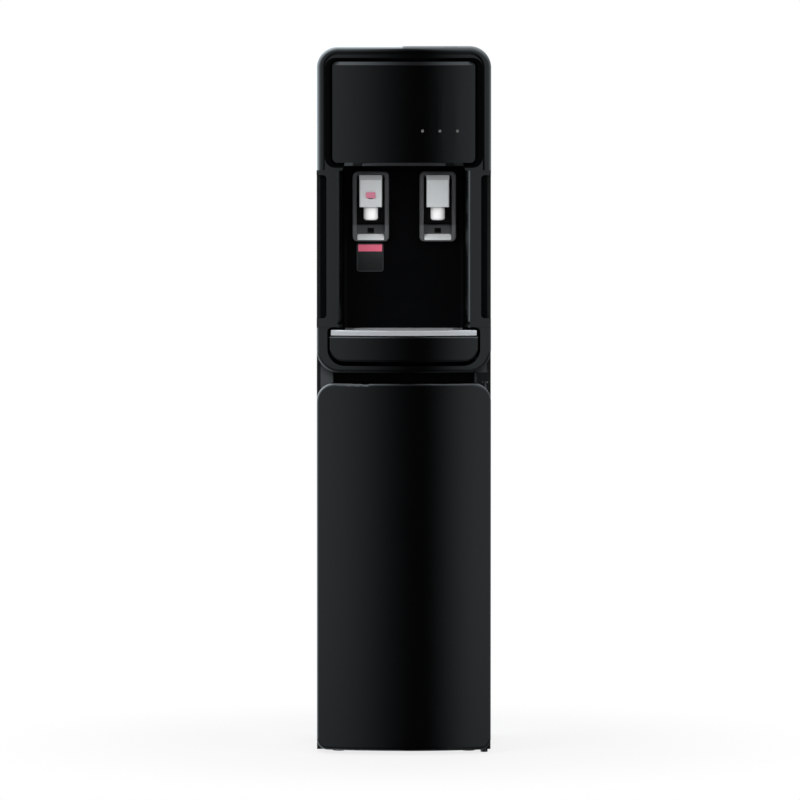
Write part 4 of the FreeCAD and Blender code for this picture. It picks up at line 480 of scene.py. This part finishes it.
# how each finish is made: its function, its colour and the rest of the function's values
FINISHES = {
    "gloss_black_shell": (gloss_moulding, SHELL_BLACK),
    "ring_black": (gloss_moulding, SHELL_BLACK, ring_roll),
    "panel_black": (gloss_moulding, SHELL_BLACK, panel_roll),
    # the taps' frames, with painted shade in their recesses and a painted highlight on their ledges
    "hot_trim_grey": (tap_recess, TRIM_GREY, "hot_tap_trim"),
    "cold_trim_grey": (tap_recess, TRIM_GREY, "cold_tap_trim"),
    # the niche's moulding painted darker than the other satin black: painted shade of the recess
    "niche_black": (satin_moulding, SHADE_BLACK, 0.5, 0.00003, 0.08),
    # the frame behind the door: painted shade in the finger recess and a painted highlight on the shoulders
    "frame_black": (shoulder_moulding, SHADE_BLACK, (0.06, 0.065, 0.069)),
    "satin_black_moulding": (satin_moulding, (0.0035, 0.0037, 0.0037), 0.46),
    "black_coated_sheet": (coated_sheet, (0.006, 0.0062, 0.0064)),
    "zinc_sheet": (galvanised, (0.47, 0.48, 0.49)),
    "foot_rubber": (rubber, (0.02, 0.02, 0.021)),
    "magnet_black": (satin_moulding, (0.03, 0.03, 0.031), 0.6),
    "indicator_clear": (plain_moulding, (0.1, 0.105, 0.1), 0.2),
    "circuit_board": (circuit, (0.02, 0.12, 0.045)),
    "lever_grey": (lever_moulding, (0.52, 0.54, 0.55)),
    "lip_silver": (plain_moulding, (0.66, 0.68, 0.69), 0.24),
    "lock_red": (plain_moulding, (0.5, 0.165, 0.24), 0.3),
    "tap_white": (plain_moulding, (0.72, 0.72, 0.7), 0.42, 0.05),
    "nozzle_white": (plain_moulding, (0.95, 0.95, 0.95), 0.22),
    "pin_steel": (brushed, (0.55, 0.55, 0.56), ALONG_Z),
    "grille_steel": (brushed, (0.62, 0.63, 0.65), ALONG_X, 0.3, 0.55),
    "bay_grey": (satin_moulding, (0.3, 0.31, 0.32), 0.48, 0.00003),
    "compressor_black": (coated_sheet, (0.014, 0.014, 0.014)),
    "condenser_black": (coated_sheet, (0.016, 0.016, 0.016)),
    "pump_white": (plain_moulding, (0.62, 0.62, 0.58)),
    "tank_steel": (brushed, (0.55, 0.55, 0.55), (1.0, 1.0, 0.03), 0.3),
    "foam_white": (foam, (0.78, 0.77, 0.72)),
    "silicone_hose": (plain_moulding, (0.6, 0.61, 0.58), 0.3, 0.25),
    "probe_white": (plain_moulding, (0.66, 0.69, 0.72), 0.35, 0.1),
    "drain_grey": (satin_moulding, (0.2, 0.2, 0.21), 0.5),
    "switch_black": (satin_moulding, (0.016, 0.016, 0.017), 0.4),
    "rocker_red": (plain_moulding, (0.42, 0.015, 0.015), 0.25),
    "rocker_green": (plain_moulding, (0.015, 0.25, 0.07), 0.25),
    "plate_outline": (satin_moulding, (0.02, 0.021, 0.022), 0.4),
    "plate_red": (plain_moulding, (0.7, 0.13, 0.21), 0.35),
    "plate_dark": (satin_moulding, (0.012, 0.013, 0.013), 0.35),
    "screw_zinc": (brushed, (0.5, 0.5, 0.5), (1.0, 0.1, 1.0), 0.3),
    "bumper_rubber": (rubber, (0.018, 0.018, 0.018)),
}
materials = {name: make(name, *values) for name, (make, *values) in FINISHES.items()}

# the nodes whose finish is a closer match than their slot's
OWN_FINISH = {
    "niche_liner": "niche_black",
    "front_frame": "frame_black",
    "door_frame": "frame_black",
    "front_bezel": "ring_black",
    "upper_panel": "panel_black",
    "hot_tap_trim": "hot_trim_grey",
    "cold_tap_trim": "cold_trim_grey",
}


def give(piece, finish):
    """The piece or node takes this finish all over."""
    piece.data.materials.clear()
    piece.data.materials.append(materials[finish])


for part in frame["record"]["subparts"]:
    give(nodes[part["node"]], OWN_FINISH.get(part["node"], part["material_slot"]))

# ---------------------------------------------------------------- modelling helpers


def deselect():
    bpy.ops.object.select_all(action="DESELECT")


def begin_edit(piece):
    """Into edit mode, with nothing selected."""
    bpy.context.view_layer.objects.active = piece
    bpy.ops.object.mode_set(mode="EDIT")
    bpy.ops.mesh.select_mode(type="FACE")
    bpy.ops.mesh.select_all(action="DESELECT")


def pick_faces(piece, test):
    """Selects the faces whose middle and normal pass the test."""
    bpy.ops.mesh.select_mode(type="FACE")
    mesh = bmesh.from_edit_mesh(piece.data)
    for face in mesh.faces:
        face.select_set(test(face.calc_center_median(), face.normal))
    mesh.select_flush_mode()
    bmesh.update_edit_mesh(piece.data)


def pick_edges(piece, test):
    """Selects the edges whose two ends pass the test."""
    bpy.ops.mesh.select_mode(type="EDGE")
    mesh = bmesh.from_edit_mesh(piece.data)
    for edge in mesh.edges:
        edge.select_set(test(*[vertex.co for vertex in edge.verts]))
    bmesh.update_edit_mesh(piece.data)


def end_edit():
    bpy.ops.object.mode_set(mode="OBJECT")


def settle(piece):
    """Puts the piece's place into its mesh."""
    deselect()
    piece.select_set(True)
    bpy.context.view_layer.objects.active = piece
    bpy.ops.object.transform_apply(location=True, rotation=True, scale=True)


def dress(piece, body, finish):
    """The last step of each piece: soft edges, its finish and the body it rides on."""
    settle(piece)
    bpy.ops.object.shade_smooth_by_angle(angle=SOFT_ANGLE)
    give(piece, finish)
    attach(piece, body)


def box_piece(name, low, high):
    """A box between two corners."""
    deselect()
    low, high = Vector(low), Vector(high)
    bpy.ops.mesh.primitive_cube_add(size=1, location=(low + high) / 2)
    piece = bpy.context.object
    piece.name = name
    piece.scale = high - low
    settle(piece)
    return piece


def disc_piece(name, seat, radius, height):
    """A short cylinder that stands on seat and faces backwards."""
    deselect()
    middle = Vector(seat) + Vector((0, height / 2, 0))
    bpy.ops.mesh.primitive_cylinder_add(vertices=24, radius=radius, depth=height, location=middle,
                                        rotation=(math.pi / 2, 0, 0))
    piece = bpy.context.object
    piece.name = name
    settle(piece)
    return piece


def round_rim(piece, level, offset, segments):
    """Rounds the rim of a disc, at level on Y."""
    begin_edit(piece)
    pick_edges(piece, lambda a, b: min(a.y, b.y) > level - TOUCH)
    bpy.ops.mesh.bevel(offset=offset, segments=segments, affect="EDGES")


def copy_at(piece, name, offset):
    """A copy with its own mesh, moved by offset."""
    twin = piece.copy()
    twin.data = piece.data.copy()
    twin.name = name
    twin.data.transform(Matrix.Translation(offset))
    bpy.context.collection.objects.link(twin)
    return twin


# ---------------------------------------------------------------- small parts


def pan_screw(name, seat):
    """A pan head with a sunk middle, facing backwards."""
    screw = disc_piece(name, seat, SCREW_RADIUS, SCREW_HEIGHT)
    top = seat[1] + SCREW_HEIGHT
    round_rim(screw, top, SCREW_HEIGHT * 0.55, 3)
    pick_faces(screw, lambda centre, normal: normal.y > 0.99 and centre.y > top - TOUCH)
    bpy.ops.mesh.inset(thickness=SCREW_RADIUS * 0.3)
    bpy.ops.mesh.inset(thickness=SCREW_RADIUS * 0.12, depth=-SCREW_HEIGHT * 0.3)
    end_edit()
    return screw


def rear_screws():
    """Screws down both edges of the rear panel and at the ends of the switch plate."""
    low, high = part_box("rear_panel")
    plate_low, plate_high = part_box("switch_plate")
    first = low.z + SCREW_END
    step = (high.z - SCREW_END - first) / (SCREW_ROWS - 1)
    seats = [(side, high.y, first + step * row) for row in range(SCREW_ROWS)
             for side in (low.x + SCREW_INSET, high.x - SCREW_INSET)]
    middle = (plate_low.z + plate_high.z) / 2
    seats += [(side, plate_high.y, middle)
              for side in (plate_low.x + PLATE_SCREW_INSET, plate_high.x - PLATE_SCREW_INSET)]
    model = pan_screw("rear_screw_01", seats[0])
    screws = [model]
    for index, seat in enumerate(seats[1:], 2):
        screws.append(copy_at(model, f"rear_screw_{index:02d}", Vector(seat) - Vector(seats[0])))
    for screw in screws:
        dress(screw, "cabinet", "screw_zinc")


def trim_lips():
    """A thin silver strip on the sloping lip of each tap's frame."""
    reach = (LIP_RISE * math.sqrt(2) - LIP_THICKNESS) / 2
    for tap in ("hot", "cold"):
        low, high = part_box(f"{tap}_tap_trim")
        strip = box_piece(f"{tap}_trim_lip", (-LIP_HALF, -reach, 0), (LIP_HALF, reach, LIP_THICKNESS))
        begin_edit(strip)
        pick_edges(strip, lambda a, b: abs(a.z - b.z) > LIP_THICKNESS / 2)
        bpy.ops.mesh.bevel(offset=LIP_CORNER, segments=5, affect="EDGES")
        pick_edges(strip, lambda a, b: min(a.z, b.z) > LIP_THICKNESS * 0.9)
        bpy.ops.mesh.bevel(offset=LIP_SOFTENING, segments=2, affect="EDGES")
        end_edit()
        strip.rotation_euler = (math.pi / 4, 0, 0)
        strip.location = ((low.x + high.x) / 2, low.y + LIP_RISE / 2 - LIP_SINK,
                          low.z + LIP_LOW + LIP_RISE / 2 + LIP_SINK)
        dress(strip, "cabinet", "lip_silver")


def hot_plate():
    """The small bare plate under the hot tap: a raised outline, a red bar and a dark field."""
    low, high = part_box("hot_tap_trim")
    middle = (low.x + high.x) / 2 - HOT_PLATE_ASIDE
    top, back = low.z - HOT_PLATE_DROP, low.y + TRIM_DEPTH
    bottom, half = top - HOT_PLATE_HEIGHT, HOT_PLATE_WIDTH / 2
    plate = box_piece("hot_plate_outline", (middle - half, back - HOT_PLATE_THICKNESS, bottom),
                      (middle + half, back, top))
    begin_edit(plate)
    pick_edges(plate, lambda a, b: abs(a.y - b.y) > HOT_PLATE_THICKNESS / 2)
    bpy.ops.mesh.bevel(offset=HOT_PLATE_CORNER, segments=6, affect="EDGES")
    pick_faces(plate, lambda centre, normal: normal.y < -0.99)
    bpy.ops.mesh.inset(thickness=HOT_PLATE_RIM)
    bpy.ops.mesh.inset(thickness=HOT_PLATE_STEP[0], depth=-HOT_PLATE_STEP[1])
    end_edit()
    dress(plate, "cabinet", "plate_outline")
    side = half - HOT_PLATE_BORDER
    bar_low = top - HOT_PLATE_BAR
    tiles = (
        ("hot_plate_bar", "plate_red", "lock_red", bar_low, top - HOT_PLATE_BORDER),
        ("hot_plate_field", "plate_dark", "satin_black_moulding",
         bottom + HOT_PLATE_BORDER, bar_low - HOT_PLATE_SEAM),
    )
    for name, finish, slot, z_low, z_high in tiles:
        tile = box_piece(name, (middle - side, back - TILE_SPAN[0], z_low),
                         (middle + side, back - TILE_SPAN[1], z_high))
        begin_edit(tile)
        pick_faces(tile, lambda centre, normal: normal.y < -0.99)
        bpy.ops.mesh.inset(thickness=TILE_EDGE[0], depth=TILE_EDGE[1])
        end_edit()
        dress(tile, "cabinet", finish)


def door_bumpers():
    """Two rubber domes on the back of the door, on the latch side."""
    low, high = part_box("door_liner")
    for label, z in (("lower", low.z + BUMPER_END), ("upper", high.z - BUMPER_END)):
        bumper = disc_piece(f"door_bumper_{label}", (low.x + BUMPER_SIDE, high.y, z),
                            BUMPER_RADIUS, BUMPER_HEIGHT)
        round_rim(bumper, high.y + BUMPER_HEIGHT, BUMPER_HEIGHT * 0.7, 4)
        end_edit()
        dress(bumper, "door", "bumper_rubber")


# ---------------------------------------------------------------- camera and studio


def look_at(thing, place, aim):
    """Puts a camera or lamp at place, facing aim."""
    place = Vector(place)
    thing.location = place
    thing.rotation_euler = (Vector(aim) - place).to_track_quat("-Z", "Y").to_euler()
    bpy.context.collection.objects.link(thing)


def add_camera():
    """Level with the top of the part and tilted down to its middle."""
    data = bpy.data.cameras.new("photo_camera")
    data.lens = LENS
    data.clip_end = CAMERA_REACH
    camera = bpy.data.objects.new("photo_camera", data)
    place = (MIDDLE_X, cad_low.y - CAMERA_DISTANCE, cad_high.z)
    look_at(camera, place, (MIDDLE_X, cad_low.y, AIM_HEIGHT))
    bpy.context.scene.camera = camera


def add_floor():
    """A round pale floor that keeps the shadow and fades into the white behind it."""
    deselect()
    bpy.ops.mesh.primitive_circle_add(vertices=96, radius=FLOOR_RADIUS, fill_type="NGON", location=(0, 0, 0))
    floor = bpy.context.object
    floor.name = "studio_floor"
    finish = Finish("studio_floor", (0.9, 0.9, 0.9), 0.9)
    distance = finish.add("ShaderNodeVectorMath", {"operation": "LENGTH"}, {0: finish.place}, output="Value")
    glow_share = distance.smooth(*FLOOR_FADE) * (1 - FLOOR_GLOW) + FLOOR_GLOW
    fade = glow_share * finish.ray("Is Camera Ray")
    glow = finish.tree.nodes.new("ShaderNodeEmission")
    mixed = finish.tree.nodes.new("ShaderNodeMixShader")
    finish.tree.links.new(fade.socket, mixed.inputs["Fac"])
    finish.tree.links.new(finish.shader.outputs["BSDF"], mixed.inputs[1])
    finish.tree.links.new(glow.outputs["Emission"], mixed.inputs[2])
    finish.tree.links.new(mixed.outputs["Shader"], finish.output.inputs["Surface"])
    floor.data.materials.append(finish.material)
    floor.visible_glossy = False


def add_softbox(name, place, aim, width, height, power):
    """A square lamp that lights the part and shows in no reflection."""
    data = bpy.data.lights.new(name, "AREA")
    data.shape = "RECTANGLE"
    data.size, data.size_y = width, height
    data.energy = power
    lamp = bpy.data.objects.new(name, data)
    lamp.visible_glossy = False
    look_at(lamp, place, aim)


def mirror_strength(studio):
    """What the gloss sees: a bright wall on each side, a dark gap where the camera stands, a lit ceiling."""
    way = studio.add("ShaderNodeTexCoord", {}, {}, output="Generated")
    x, y, z = (studio.add("ShaderNodeSeparateXYZ", {}, {0: way}, output=name) for name in "XYZ")
    turn = x.math("ARCTAN2", y * -1)
    left = 1 - turn.smooth(LEFT_FULL, LEFT_END)
    right = turn.smooth(RIGHT_START, RIGHT_FULL)
    far_left = 1 - turn.smooth(FAR_LEFT_FULL, FAR_LEFT_START)
    overhead = z.smooth(*OVERHEAD_BAND) * (left * OVERHEAD_LEFT + right * OVERHEAD_RIGHT + OVERHEAD_BASE)
    walls = (left + right).clamped() * WALL_LEVEL + far_left * FAR_LEFT_LEVEL + GAP_LEVEL
    low_dim = z.smooth(*LOW_BAND) * (1 - LOW_LEVEL) + LOW_LEVEL
    return walls * low_dim + overhead * OVERHEAD_LEVEL


def add_world():
    """White to the eye, plain to matt surfaces, and two walls with a gap between them in reflections."""
    world = bpy.data.worlds.new("studio_world")
    bpy.context.scene.world = world
    world.use_nodes = True
    studio = Graph(world.node_tree)
    camera_ray, glossy_ray, through_ray = (
        studio.ray(f"Is {kind} Ray") for kind in ("Camera", "Glossy", "Transmission"))
    diffuse = 1 - (camera_ray + glossy_ray + through_ray).clamped()
    strength = camera_ray + through_ray + mirror_strength(studio) * glossy_ray + diffuse * WORLD_LEVEL
    color = studio.blend(glossy_ray, (1.0, 1.0, 1.0), MIRROR_TINT)
    background = studio.add("ShaderNodeBackground", {}, {"Color": color, "Strength": strength})
    output = studio.tree.nodes.new("ShaderNodeOutputWorld")
    studio.tree.links.new(background.socket, output.inputs["Surface"])


rear_screws()
trim_lips()
hot_plate()
door_bumpers()
add_camera()
add_floor()
for softbox in SOFTBOXES:
    add_softbox(*softbox)
add_world()
bpy.context.scene.view_settings.view_transform = "Standard"
